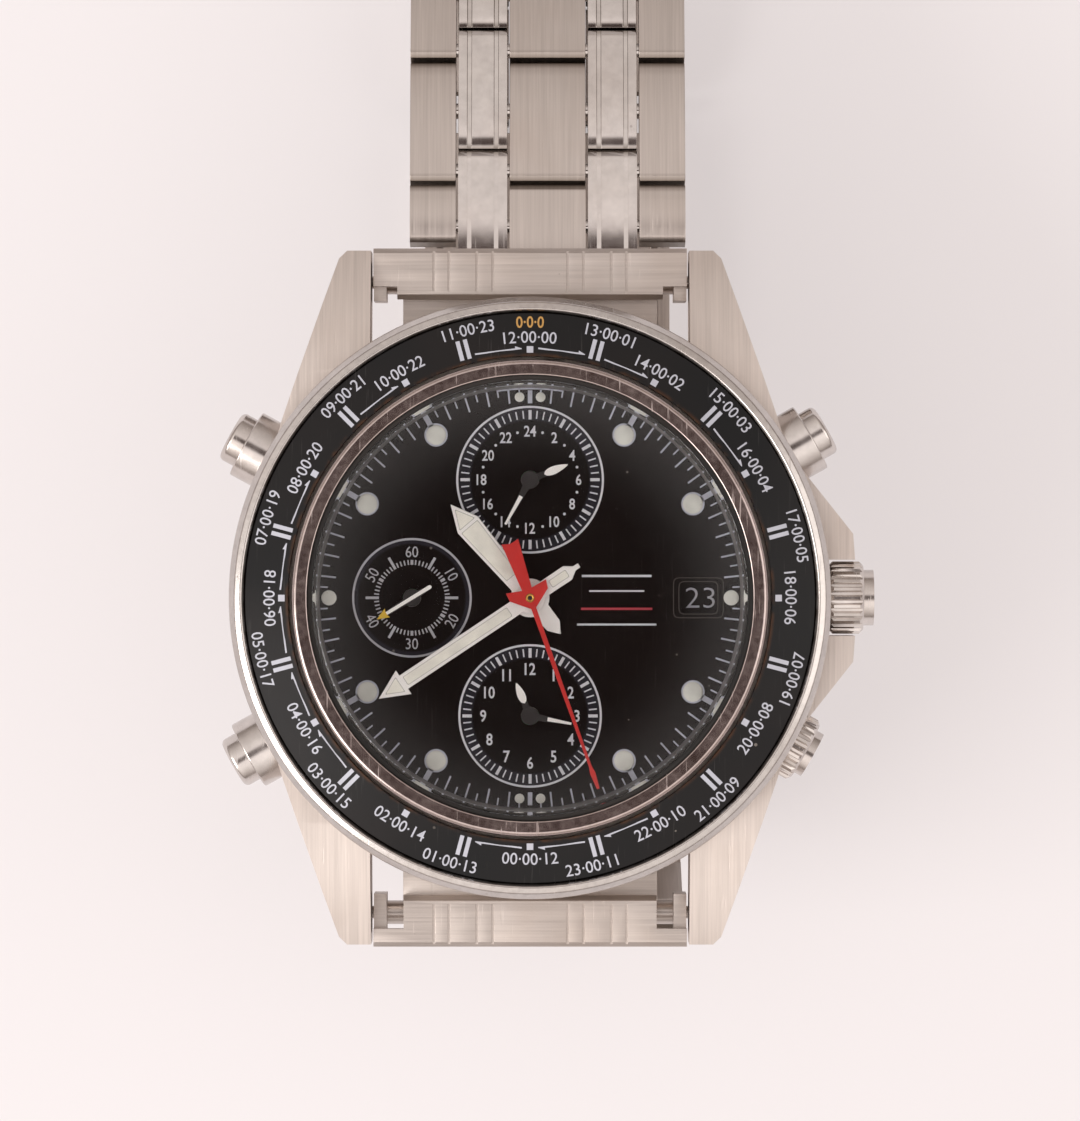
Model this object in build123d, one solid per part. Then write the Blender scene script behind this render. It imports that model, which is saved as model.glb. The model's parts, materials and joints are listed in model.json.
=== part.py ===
from build123d import *
import math
import os

# World time watch: steel case on a five-piece bracelet, three pushers and two crowns.
# Millimetres. The origin is the centre of the case back's outer face, +Z out of the dial,
# +Y to twelve o'clock and +X to three o'clock. The closed bracelet loops below the head.

# Clearances
running_gap = 0.1
fit_gap = 0.02
overrun = 1.0

# Case
case_radius = 18.2
case_bottom = 1.2
case_top = 7.6
case_edge = 0.4
case_taper_in = 1.5
case_taper_up = 1.6
bay_wall = 3.2
bay_radius = case_radius - bay_wall
bay_roof = 0.7
bay_top = case_top - bay_roof
neck_step = 0.7
neck_radius = bay_radius - neck_step
neck_wall = 0.88
neck_opening = neck_radius - neck_wall
neck_rise = 1.4
neck_top = case_top + neck_rise

# Lugs
lug_width = 20.0
lug_reach = 3.6
lug_tip_y = case_radius + lug_reach
lug_tip_thick = 2.0
lug_flank_out = 5.4
lug_flank_x = lug_width / 2 + lug_flank_out
lug_flank_y = 11.4
lug_root_in = 0.5
lug_root_x = case_radius - lug_root_in
lug_root_y = 4.0
lug_tip_drop = 2.7
lug_tip_top = case_top - lug_tip_drop
lug_shoulder_length = 7.8
lug_bend_length = 3.4
lug_bend_drop = 1.1
lug_tip_bottom = 0.7
lug_foot_length = 6.8
lug_foot_rise = 0.7
lug_corner = 0.5
lug_waist = 12.0

# Case back and its gasket
back_inset = 2.3
back_radius = case_radius - back_inset
back_edge = 0.4
back_spigot_radius = bay_radius - running_gap
back_spigot_height = 1.0
back_spigot_top = case_bottom + back_spigot_height
back_gasket_land = 0.15
back_gasket_inner = bay_radius + back_gasket_land
back_gasket_width = 0.45
back_gasket_thick = 0.35

# Glass ring, glass and its gasket
glass_ring_wall = 0.5
glass_ring_radius = neck_radius + glass_ring_wall
glass_ring_lift = 0.4
glass_ring_bottom = case_top + glass_ring_lift
glass_ring_height = 2.65
glass_ring_top = glass_ring_bottom + glass_ring_height
glass_ring_edge = 0.2
glass_ring_lip = 0.98
glass_seat_radius = glass_ring_radius - glass_ring_lip
glass_gasket_room = 0.3
glass_radius = glass_seat_radius - glass_gasket_room
glass_thick = 1.7
glass_edge = 0.25
glass_gasket_thick = 1.3

# Rotating bezel and the city ring
bezel_overhang = 0.55
bezel_radius = case_radius + bezel_overhang
bezel_bore_gap = 0.2
bezel_bore = glass_ring_radius + bezel_bore_gap
bezel_lift = 0.1
bezel_bottom = case_top + bezel_lift
bezel_rim_height = 1.3
bezel_rim_slope = 0.35
bezel_rim_rise = 0.6
bezel_crest_in = 0.77
bezel_crest_rise = 0.75
city_rim_width = 1.0
city_outer = bezel_radius - city_rim_width
city_lift = 1.8
city_outer_top = bezel_bottom + city_lift
city_rise = 0.75
city_inner_top = city_outer_top + city_rise
city_thick = 0.55

# Dial, flange and date window
dial_lip = 0.1
dial_radius = neck_radius + dial_lip
dial_top = bay_top - running_gap
dial_thick = 0.4
dial_bottom = dial_top - dial_thick
flange_top_in = 0.1
flange_top_radius = neck_opening - flange_top_in
flange_bottom_in = 0.42
flange_bottom_radius = neck_opening - flange_bottom_in
flange_top = neck_top - running_gap
flange_wall = 0.05
window_inset = 4.0
window_x = dial_radius - window_inset
window_width = 2.3
window_height = 1.9
subdial_inset = 7.1
subdial_distance = dial_radius - subdial_inset
local_radius = 4.53
alarm_radius = 4.4
counter_radius = 3.66
subdial_depth = 0.06

# Movement
holder_band = 1.6
plate_radius = bay_radius - holder_band
calendar_height = 0.8
plate_top = dial_bottom - calendar_height
plate_thick = 1.5
plate_bottom = plate_top - plate_thick
holder_inner = plate_radius + running_gap
holder_bottom = back_spigot_top + running_gap
board_inset = 0.6
board_radius = plate_radius - board_inset
board_thick = 0.35
board_gap = 0.05
battery_share = 0.354
battery_radius = battery_share * plate_radius
battery_thick = 1.35
battery_x_share = 0.418
battery_x = -battery_x_share * plate_radius
battery_y_share = 0.403
battery_y = -battery_y_share * plate_radius
battery_gap = 0.12
coil_radius = 0.55
coil_length_share = 0.672
coil_length = coil_length_share * plate_radius
coil_x_share = 0.3134
coil_x = coil_x_share * plate_radius
coil_y_share = 0.5224
coil_y = -coil_y_share * plate_radius
coil_flange_radius = 0.65
coil_flange_thick = 0.6
buzzer_share = 0.388
buzzer_radius = buzzer_share * plate_radius
buzzer_thick = 0.25
buzzer_x_share = 0.3433
buzzer_x = buzzer_x_share * plate_radius
buzzer_y_share = 0.3582
buzzer_y = buzzer_y_share * plate_radius
date_outer_reach = 1.9
date_outer = window_x + date_outer_reach
date_inner_reach = 1.65
date_inner = window_x - date_inner_reach
date_gap = 0.15
date_bottom = plate_top + date_gap
date_thick = 0.2

# Centre hands
hand_thick = 0.2
hour_lift = 0.85
hour_bottom = dial_top + hour_lift
minute_gap = 0.15
minute_bottom = hour_bottom + hand_thick + minute_gap
sweep_gap = 0.2
sweep_bottom = minute_bottom + hand_thick + sweep_gap
sweep_thick = 0.12
hour_pipe_radius = 0.9
hour_pipe_bore = 0.62
minute_pipe_radius = 0.54
minute_pipe_bore = 0.36
sweep_arbor_radius = 0.24
pipe_step = 0.2
hour_angle = 319.6
hour_length = 7.6
hour_shoulder = 5.95
hour_width = 1.62
hour_waist_width = 1.16
hour_hub = 1.2
hour_tail = 2.95
hour_tail_start = 1.5
hour_tail_width = 1.1
hour_tail_shoulder = 2.25
hour_tail_end_width = 1.0
minute_angle = 236.3
minute_length = 11.26
minute_shoulder = 9.4
minute_head_width = 1.76
minute_width = 0.98
minute_hub = 0.95
minute_tail = 3.65
minute_tail_shoulder = 2.8
minute_tail_width = 1.0
minute_tail_tip = 0.3
sweep_angle = 160.3
sweep_length = 12.56
sweep_tip_width = 0.18
sweep_lance_length = 1.06
sweep_lance_width = 0.34
sweep_lance_slope = 0.4
sweep_root_width = 0.32
sweep_root = 0.68
sweep_hub = 0.6
sweep_wing = 1.25
sweep_wing_top = 0.2
sweep_wing_end = 1.32
sweep_wing_bottom = 0.76
sweep_neck = 0.58
sweep_tail = 3.71
sweep_tail_notch = 3.56
sweep_tail_width = 1.1

# Small hands
small_thick = 0.12
small_lift = 0.2
small_lower = dial_top + small_lift
small_gap = 0.2
small_upper = small_lower + small_thick + small_gap
small_pipe_radius = 0.46
small_pipe_bore = 0.3
small_arbor_radius = 0.2
small_hub = 0.55
small_width = 0.42
small_tip_width = 0.14
local_hour_angle = 68.0
local_hour_length = 2.55
local_minute_angle = 209.0
local_minute_length = 3.2
alarm_hour_angle = 337.0
alarm_hour_length = 2.25
alarm_minute_angle = 100.8
alarm_minute_length = 2.65
counter_angle = 238.5
counter_length = 2.55
counter_tail = 1.4

# Crowns
winding_lift = 0.65
winding_z = plate_bottom + winding_lift
crown_radius = 2.28
crown_gap = 0.55
crown_start = case_radius + crown_gap
crown_grip = 2.15
crown_cap_radius = 1.75
crown_cap = 0.65
crown_edge = 0.25
crown_teeth = 26
crown_tooth = 0.16
alarm_crown_angle = -29.2
alarm_crown_radius = 2.1
alarm_crown_gap = 0.2
alarm_crown_start = case_radius + alarm_crown_gap
alarm_crown_grip = 1.4
alarm_crown_cap_radius = 1.5
alarm_crown_cap = 0.5
alarm_crown_teeth = 24
stem_radius = 0.45
stem_depth = 4.4
stem_inner_end = plate_radius - stem_depth
stem_in_crown = 1.1
stem_clearance = 0.1
stem_running_fit = 0.04
tube_radius = 1.0
tube_start = bay_radius + running_gap
tube_in_crown = 0.3

# Crown guards
guard_root = 1.8
guard_start_x = case_radius - guard_root
guard_start_y = 8.8
guard_reach_out = 2.0
guard_reach_x = case_radius + guard_reach_out
guard_reach_y = 4.0
guard_tip_out = 0.3
guard_tip_x = guard_reach_x + guard_tip_out
guard_below = 2.45
guard_low = winding_z - guard_below
guard_above = 2.15
guard_high = winding_z + guard_above
guard_slot_clearance = 0.25

# Pushers
pusher_names = ("pusher_upper_right", "pusher_upper_left", "pusher_lower_left")
pusher_angles = (29.8, 151.5, 209.3)
collar_radius = 2.2
collar_pocket = 0.6
collar_start = case_radius - collar_pocket
collar_length = 2.7
collar_end = collar_start + collar_length
collar_floor_thick = 1.2
collar_floor = collar_start + collar_floor_thick
collar_bore = 1.72
collar_spigot = 1.1
cap_radius = 1.64
cap_travel = 0.8
cap_start = collar_floor + cap_travel
cap_length = 1.8
cap_edge = 0.2
pusher_shaft = 0.45
pusher_reach = 0.4
pusher_shaft_start = bay_radius - pusher_reach

# Spring bars and end pieces
bar_inset = 1.9
bar_y = lug_tip_y - bar_inset
bar_lift = 1.7
bar_z = lug_tip_bottom + bar_lift
bar_radius = 0.75
bar_tip_radius = 0.4
bar_end_gap = 0.6
bar_shoulder = lug_width / 2 - bar_end_gap
bar_tip_depth = 1.1
roof_reach_in = 1.15
roof_inner_y = bar_y - roof_reach_in
roof_reach_out = 2.05
roof_outer_y = bar_y + roof_reach_out
roof_top = lug_tip_top
roof_thick = 0.6
roof_side_gap = 0.15
roof_edge = 0.3
upper_notch_width = 1.5
upper_notch_length = 0.8
lower_notch_width = 1.9
lower_notch_length = 2.05
cheek_thick = 0.8
cheek_reach = 1.25
tongue_inset = 2.0
tongue_half = lug_width / 2 - tongue_inset
tongue_drop = 1.7
tongue_low = roof_top - tongue_drop
tongue_thick = 0.5
tongue_gap = 0.15
groove_xs = (2.35, 3.35, 5.1, 6.05)
groove_width = 0.16
groove_depth = 0.12
groove_stop = 0.5

# Bracelet
link_pitch = 8.0
first_pitch = 7.2
link_overlap = 1.0
link_crown = 1.35
link_edge = 0.3
link_gap = 0.15
bracelet_inset = 1.3
flank_outer = lug_width / 2 - bracelet_inset
flank_width = 2.9
flank_inner = flank_outer - flank_width
bead_outer = flank_inner - link_gap
bead_width = 3.1
bead_inner = bead_outer - bead_width
centre_half = bead_inner - link_gap
bead_groove_x = 0.85
bead_groove_width = 0.28
bead_groove_depth = 0.3
pin_radius = 0.45
pin_clearance = 0.05
side_play = 1.1
first_flank_start = 2.4
bar_running_gap = 0.06
knuckle_wall = 0.35
upper_link_angles = (8.0, 14.0, 22.0, 70.0, 128.0, 172.0)
lower_link_angles = (84.0, 111.5, 140.0, 172.5)

# Clasp
clasp_gap = 0.76
blade_thick = 0.7
blade_inset = 1.8
blade_half = flank_outer - blade_inset
blade_one_rise = 0.65
blade_one_start = 1.45
blade_hinge_back = 2.2
eye_radius = 0.8
eye_pin_radius = 0.4
eye_clearance = 0.05
eye_relief = 0.2
ear_width = 1.3
ear_gap = 0.15
cover_hinge = 3.0
cover_start = 2.6
cover_wall_start = 2.2
cover_inner = 0.95
cover_thick = 0.65
cover_inset = 0.6
cover_half = flank_outer - cover_inset
cover_wall = 0.8
clasp_knuckle = 1.0

half_turn = 180.0
quarter_turn = 90.0


def cylinder(radius, low, high, x=0, y=0):
    """Upright cylinder between two heights."""
    return Pos(x, y, (low + high) / 2) * Cylinder(radius, high - low)


def tube(outer, inner, low, high, x=0, y=0):
    return cylinder(outer, low, high, x, y) - cylinder(inner, low - overrun, high + overrun, x, y)


def block(low, high):
    """Box between two corners."""
    sizes = [b - a for a, b in zip(low, high)]
    middle = [(a + b) / 2 for a, b in zip(low, high)]
    return Pos(*middle) * Box(*sizes)


def turned(points):
    """Solid of revolution about Z of a closed outline of (radius, height) points."""
    outline = Plane.XZ * make_face(Polyline(*points, close=True))
    return revolve(outline, Axis.Z)


def plan_solid(points, low, high):
    """Outline in plan, raised between two heights."""
    return Pos(0, 0, low) * extrude(make_face(Polyline(*points, close=True)), high - low)


def side_solid(points, x_low, x_high):
    """Outline in (y, z), carried along X."""
    face = Plane.YZ * make_face(Polyline(*points, close=True))
    return Pos(x_low, 0, 0) * extrude(face, x_high - x_low)


def cross_bar(radius, y, z, x_low, x_high):
    """Cylinder along X."""
    return Pos((x_low + x_high) / 2, y, z) * Rot(0, quarter_turn, 0) * Cylinder(radius, x_high - x_low)


def spoke(radius, start, end, bearing):
    """Cylinder along a radius of the case at the height of the crowns and pushers."""
    rod = Pos((start + end) / 2, 0, winding_z) * Rot(0, quarter_turn, 0) * Cylinder(radius, end - start)
    return Rot(0, 0, bearing) * rod


def mirrored(points):
    """Outline with its own mirror image in X added."""
    return points + [(-x, y) for x, y in reversed(points) if x != 0]


def save(name, *solids):
    shape = Compound(children=[s for solid in solids for s in solid.solids()])
    export_step(shape, os.path.join("parts", name + ".step"))


stem_bearings = {"crown": 0.0, "alarm_crown": alarm_crown_angle}


def make_case():
    body = turned([
        (neck_opening, case_bottom),
        (case_radius - case_taper_in, case_bottom),
        (case_radius, case_bottom + case_taper_up),
        (case_radius, case_top - case_edge),
        (case_radius - case_edge, case_top),
        (neck_radius, case_top),
        (neck_radius, neck_top),
        (neck_opening, neck_top),
    ])
    inner_x = lug_width / 2
    lug_plan = [
        (inner_x, lug_waist),
        (inner_x, lug_tip_y),
        (inner_x + lug_tip_thick - lug_corner, lug_tip_y),
        (inner_x + lug_tip_thick, lug_tip_y - lug_corner),
        (lug_flank_x, lug_flank_y),
        (lug_root_x, lug_root_y),
        (inner_x, lug_root_y),
    ]
    lug_side = [
        (0, case_bottom + case_taper_up),
        (0, case_top),
        (lug_tip_y - lug_shoulder_length, case_top),
        (lug_tip_y - lug_bend_length, case_top - lug_bend_drop),
        (lug_tip_y, lug_tip_top),
        (lug_tip_y, lug_tip_bottom + lug_corner),
        (lug_tip_y - lug_corner, lug_tip_bottom),
        (lug_tip_y - lug_foot_length, case_bottom + lug_foot_rise),
    ]
    lug = plan_solid(lug_plan, 0, case_top + overrun) & side_solid(lug_side, 0, case_radius + overrun)
    guard_plan = [
        (guard_start_x, guard_start_y),
        (guard_reach_x, guard_reach_y),
        (guard_tip_x, 0),
        (guard_reach_x, -guard_reach_y),
        (guard_start_x, -guard_start_y),
    ]
    body += plan_solid(guard_plan, guard_low, guard_high)
    for half in (lug, lug.mirror(Plane.XZ)):
        body += half
        body += half.mirror(Plane.YZ)
    slot_half = crown_radius + running_gap
    slot_floor = crown_start - guard_slot_clearance
    body -= block((slot_floor, -slot_half, 0), (guard_tip_x + overrun, slot_half, case_top))
    body -= cylinder(bay_radius, 0, bay_top)
    body -= cylinder(neck_opening, 0, neck_top + overrun)
    groove_outer = back_gasket_inner + back_gasket_width + fit_gap
    groove_top = case_bottom + back_gasket_thick + fit_gap
    body -= tube(groove_outer, back_gasket_inner - fit_gap, case_bottom - overrun, groove_top)
    for bearing in stem_bearings.values():
        body -= spoke(tube_radius + fit_gap, neck_opening, bezel_radius, bearing)
    for bearing in pusher_angles:
        body -= spoke(collar_spigot + fit_gap, neck_opening, bezel_radius, bearing)
        body -= spoke(collar_radius + fit_gap, collar_start, collar_end + overrun, bearing)
    body -= spoke(alarm_crown_radius + running_gap, alarm_crown_start - running_gap,
                  guard_tip_x + overrun, alarm_crown_angle)
    tip_end = bar_shoulder + bar_tip_depth
    for side in (1, -1):
        body -= cross_bar(bar_tip_radius + running_gap, side * bar_y, bar_z, -tip_end, tip_end)
    save("case_body", body)


def make_back():
    back = turned([
        (0, 0),
        (back_radius - back_edge, 0),
        (back_radius, back_edge),
        (back_radius, case_bottom),
        (back_spigot_radius, case_bottom),
        (back_spigot_radius, back_spigot_top),
        (0, back_spigot_top),
    ])
    save("case_back", back)
    gasket = tube(back_gasket_inner + back_gasket_width, back_gasket_inner,
                  case_bottom, case_bottom + back_gasket_thick)
    save("back_gasket", gasket)


def make_bezel():
    floor_outer = city_outer_top - city_thick - fit_gap
    floor_inner = city_inner_top - city_thick - fit_gap
    wall_top = bezel_bottom + bezel_rim_height
    ring = turned([
        (bezel_bore, bezel_bottom),
        (bezel_radius, bezel_bottom),
        (bezel_radius, wall_top),
        (bezel_radius - bezel_rim_slope, wall_top + bezel_rim_rise),
        (bezel_radius - bezel_crest_in, wall_top + bezel_crest_rise),
        (city_outer, city_outer_top),
        (city_outer, floor_outer),
        (bezel_bore, floor_inner),
    ])
    save("bezel_ring", ring)
    slope = city_rise / (city_outer - bezel_bore)
    outer = city_outer - fit_gap
    outer_top = city_outer_top + slope * fit_gap
    insert = turned([
        (bezel_bore, city_inner_top - city_thick),
        (outer, outer_top - city_thick),
        (outer, outer_top),
        (bezel_bore, city_inner_top),
    ])
    save("city_ring", insert)


def make_glass():
    skirt_inner = neck_radius + fit_gap
    seat = neck_top + fit_gap
    ring = turned([
        (skirt_inner, glass_ring_bottom),
        (glass_ring_radius, glass_ring_bottom),
        (glass_ring_radius, glass_ring_top - glass_ring_edge),
        (glass_ring_radius - glass_ring_edge, glass_ring_top),
        (glass_seat_radius, glass_ring_top),
        (glass_seat_radius, seat),
        (skirt_inner, seat),
    ])
    save("glass_ring", ring)
    glass = turned([
        (0, seat),
        (glass_radius, seat),
        (glass_radius, seat + glass_thick - glass_edge),
        (glass_radius - glass_edge, seat + glass_thick),
        (0, seat + glass_thick),
    ])
    save("glass", glass)
    gasket = tube(glass_seat_radius - fit_gap, glass_radius + fit_gap, seat, seat + glass_gasket_thick)
    save("glass_gasket", gasket)


def subdials():
    """Centre and radius of each small dial."""
    return (
        (0, subdial_distance, local_radius),
        (0, -subdial_distance, alarm_radius),
        (-subdial_distance, 0, counter_radius),
    )


def make_dial():
    dial = cylinder(dial_radius, dial_bottom, dial_top)
    dial -= cylinder(hour_pipe_radius + running_gap, dial_bottom - overrun, dial_top + overrun)
    for x, y, radius in subdials():
        dial -= cylinder(radius, dial_top - subdial_depth, dial_top + overrun, x, y)
        dial -= cylinder(small_pipe_radius + running_gap, dial_bottom - overrun, dial_top, x, y)
    dial -= block((window_x - window_width / 2, -window_height / 2, dial_bottom - overrun),
                  (window_x + window_width / 2, window_height / 2, dial_top + overrun))
    save("dial", dial)
    flange_outer = neck_opening - flange_wall
    flange = turned([
        (flange_bottom_radius, dial_top),
        (flange_outer, dial_top),
        (flange_outer, flange_top),
        (flange_top_radius, flange_top),
    ])
    save("dial_flange", flange)


def make_movement():
    plate = cylinder(plate_radius, plate_bottom, plate_top)
    holder = tube(bay_radius - running_gap, holder_inner, holder_bottom, dial_bottom - running_gap / 2)
    for bearing in stem_bearings.values():
        plate -= spoke(stem_radius + stem_clearance, stem_inner_end - running_gap, bay_radius, bearing)
        holder -= spoke(stem_radius + stem_clearance, plate_radius, bay_radius, bearing)
    for bearing in pusher_angles:
        holder -= spoke(pusher_shaft + stem_clearance, plate_radius, bay_radius, bearing)
    plate -= cylinder(hour_pipe_radius + running_gap, plate_bottom - overrun, plate_top + overrun)
    for x, y, _ in subdials():
        plate -= cylinder(small_pipe_radius + running_gap, plate_bottom - overrun, plate_top + overrun, x, y)
    save("movement_plate", plate)
    save("movement_holder", holder)
    board_top = plate_bottom - board_gap
    board_bottom = board_top - board_thick
    board = cylinder(board_radius, board_bottom, board_top)
    board -= cylinder(battery_radius + battery_gap, board_bottom - overrun, board_top + overrun,
                      battery_x, battery_y)
    save("circuit_board", board)
    battery_low = back_spigot_top + battery_gap
    save("battery", cylinder(battery_radius, battery_low, battery_low + battery_thick, battery_x, battery_y))
    coil_z = board_bottom - coil_flange_radius - board_gap
    coil = cross_bar(coil_radius, coil_y, coil_z, coil_x - coil_length / 2, coil_x + coil_length / 2)
    for end in (-1, 1):
        middle = coil_x + end * (coil_length - coil_flange_thick) / 2
        coil += cross_bar(coil_flange_radius, coil_y, coil_z,
                          middle - coil_flange_thick / 2, middle + coil_flange_thick / 2)
    save("drive_coil", coil)
    buzzer_top = back_spigot_top + buzzer_thick
    save("buzzer", cylinder(buzzer_radius, back_spigot_top, buzzer_top, buzzer_x, buzzer_y))
    save("date_disc", tube(date_outer, date_inner, date_bottom, date_bottom + date_thick))


def hand(outline, bottom, thick, angle, arbor, x=0, y=0):
    """Flat hand cut from an outline that points to twelve, turned clockwise, with its arbor."""
    blade = plan_solid(outline, bottom, bottom + thick)
    return Pos(x, y, 0) * Rot(0, 0, -angle) * (blade + arbor)


def make_centre_hands():
    foot = plate_bottom + pipe_step
    hour_outline = mirrored([
        (0, hour_length),
        (hour_width / 2, hour_shoulder),
        (hour_waist_width / 2, hour_hub),
        (hour_waist_width / 2, -hour_hub),
        (hour_tail_width / 2, -hour_tail_start),
        (hour_tail_end_width / 2, -hour_tail_shoulder),
        (0, -hour_tail),
    ])
    hour_top = hour_bottom + hand_thick
    pipe = cylinder(hour_hub, hour_bottom, hour_top)
    pipe += cylinder(hour_pipe_radius, foot + 2 * pipe_step, hour_top)
    hour = hand(hour_outline, hour_bottom, hand_thick, hour_angle, pipe)
    save("hour_hand", hour - cylinder(hour_pipe_bore, plate_bottom, hour_top + overrun))

    minute_outline = mirrored([
        (0, minute_length),
        (minute_head_width / 2, minute_shoulder),
        (minute_width / 2, minute_shoulder),
        (minute_width / 2, -minute_hub),
        (minute_tail_width / 2, -minute_tail_shoulder),
        (minute_tail_tip / 2, -minute_tail_shoulder - minute_tail_width / 2),
        (minute_tail_tip / 2, -minute_tail),
    ])
    minute_top = minute_bottom + hand_thick
    pipe = cylinder(minute_hub, minute_bottom, minute_top)
    pipe += cylinder(minute_pipe_radius, foot + pipe_step, minute_top)
    minute = hand(minute_outline, minute_bottom, hand_thick, minute_angle, pipe)
    save("minute_hand", minute - cylinder(minute_pipe_bore, plate_bottom, minute_top + overrun))

    sweep_outline = mirrored([
        (sweep_tip_width / 2, sweep_length),
        (sweep_lance_width / 2, sweep_length - sweep_lance_length),
        (sweep_tip_width / 2, sweep_length - sweep_lance_length - sweep_lance_slope),
        (sweep_root_width / 2, sweep_root),
        (sweep_wing, -sweep_wing_top),
        (sweep_wing_end, -sweep_wing_bottom),
        (sweep_root_width, -sweep_neck),
        (sweep_tail_width / 2, -sweep_tail),
        (0, -sweep_tail_notch),
    ])
    sweep_top = sweep_bottom + sweep_thick
    arbor = cylinder(sweep_hub, sweep_bottom, sweep_top) + cylinder(sweep_arbor_radius, foot, sweep_top)
    save("sweep_hand", hand(sweep_outline, sweep_bottom, sweep_thick, sweep_angle, arbor))


def small_outline(length, tail):
    return mirrored([
        (small_tip_width / 2, length),
        (small_width / 2, small_hub),
        (small_width / 2, -small_hub),
        (small_tip_width / 2, -tail),
    ])


def make_small_hands():
    foot = plate_bottom + pipe_step
    pairs = (
        ("local", local_hour_angle, local_hour_length, local_minute_angle, local_minute_length, 1),
        ("alarm", alarm_hour_angle, alarm_hour_length, alarm_minute_angle, alarm_minute_length, -1),
    )
    lower_top = small_lower + small_thick
    upper_top = small_upper + small_thick
    for name, lower_angle, lower_length, upper_angle, upper_length, side in pairs:
        y = side * subdial_distance
        pipe = cylinder(small_hub, small_lower, lower_top)
        pipe += cylinder(small_pipe_radius, foot + pipe_step, lower_top)
        outline = small_outline(lower_length, small_hub)
        lower = hand(outline, small_lower, small_thick, lower_angle, pipe, 0, y)
        lower -= cylinder(small_pipe_bore, plate_bottom, lower_top + overrun, 0, y)
        save(name + "_hour_hand", lower)
        arbor = cylinder(small_hub, small_upper, upper_top)
        arbor += cylinder(small_arbor_radius, foot, upper_top)
        outline = small_outline(upper_length, small_hub)
        upper = hand(outline, small_upper, small_thick, upper_angle, arbor, 0, y)
        save(name + "_minute_hand", upper)
    arbor = cylinder(small_hub, small_lower, lower_top) + cylinder(small_pipe_radius, foot, lower_top)
    outline = small_outline(counter_length, counter_tail)
    counter = hand(outline, small_lower, small_thick, counter_angle, arbor, -subdial_distance, 0)
    save("counter_hand", counter)


def knurled(radius, teeth, start, end, bearing):
    """Grip with straight teeth about a radius of the case."""
    step = 2 * math.pi / teeth
    points = []
    for tooth in range(teeth):
        for share, depth in ((-1, 0), (1, 0), (2, crown_tooth), (4, crown_tooth)):
            angle = (tooth + share / 6) * step
            points.append(((radius - depth) * math.cos(angle), (radius - depth) * math.sin(angle)))
    grip = extrude(make_face(Polyline(*points, close=True)), end - start)
    bevel = turned([
        (0, 0),
        (radius - crown_edge, 0),
        (radius, crown_edge),
        (radius, end - start - crown_edge),
        (radius - crown_edge, end - start),
        (0, end - start),
    ])
    return Rot(0, 0, bearing) * Pos(start, 0, winding_z) * Rot(0, quarter_turn, 0) * (grip & bevel)


def make_crowns():
    sizes = (
        ("crown", "crown_stem", 0, crown_radius, crown_teeth,
         crown_start, crown_grip, crown_cap_radius, crown_cap),
        ("alarm_crown", "alarm_stem", alarm_crown_angle, alarm_crown_radius, alarm_crown_teeth,
         alarm_crown_start, alarm_crown_grip, alarm_crown_cap_radius, alarm_crown_cap),
    )
    tubes = []
    for name, stem_name, bearing, radius, teeth, start, grip, cap, cap_thick in sizes:
        grip_end = start + grip
        head = knurled(radius, teeth, start, grip_end, bearing)
        head += spoke(cap, grip_end - crown_edge, grip_end + cap_thick, bearing)
        tube_end = start + tube_in_crown
        stem_end = tube_end + stem_in_crown
        head -= spoke(tube_radius + running_gap, start - overrun, tube_end + running_gap, bearing)
        head -= spoke(stem_radius + stem_running_fit, start - overrun, stem_end, bearing)
        save(name, head)
        save(stem_name, spoke(stem_radius, stem_inner_end, stem_end, bearing))
        outer = spoke(tube_radius, tube_start, tube_end, bearing)
        bore = spoke(stem_radius + stem_clearance, tube_start - overrun, tube_end + overrun, bearing)
        tubes.append(outer - bore)
    save("crown_tubes", *tubes)


def make_pushers():
    collars = []
    for name, bearing in zip(pusher_names, pusher_angles):
        collar = spoke(collar_radius, collar_start, collar_end, bearing)
        collar += spoke(collar_spigot, tube_start, collar_start, bearing)
        collar -= spoke(collar_bore, collar_floor, collar_end + overrun, bearing)
        collar -= spoke(pusher_shaft + stem_clearance, tube_start - overrun, collar_end, bearing)
        collars.append(collar)
        cap = Pos(cap_start, 0, winding_z) * Rot(0, quarter_turn, 0) * turned([
            (0, 0),
            (cap_radius, 0),
            (cap_radius, cap_length - cap_edge),
            (cap_radius - cap_edge, cap_length),
            (0, cap_length),
        ])
        cap = Rot(0, 0, bearing) * cap
        save(name, cap + spoke(pusher_shaft, pusher_shaft_start, cap_start, bearing))
    save("pusher_collars", *collars)


def make_spring_bars():
    tip_end = bar_shoulder + bar_tip_depth - running_gap
    bars = []
    for side in (1, -1):
        bar = cross_bar(bar_radius, side * bar_y, bar_z, -bar_shoulder, bar_shoulder)
        bars.append(bar + cross_bar(bar_tip_radius, side * bar_y, bar_z, -tip_end, tip_end))
    save("spring_bars", *bars)


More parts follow.
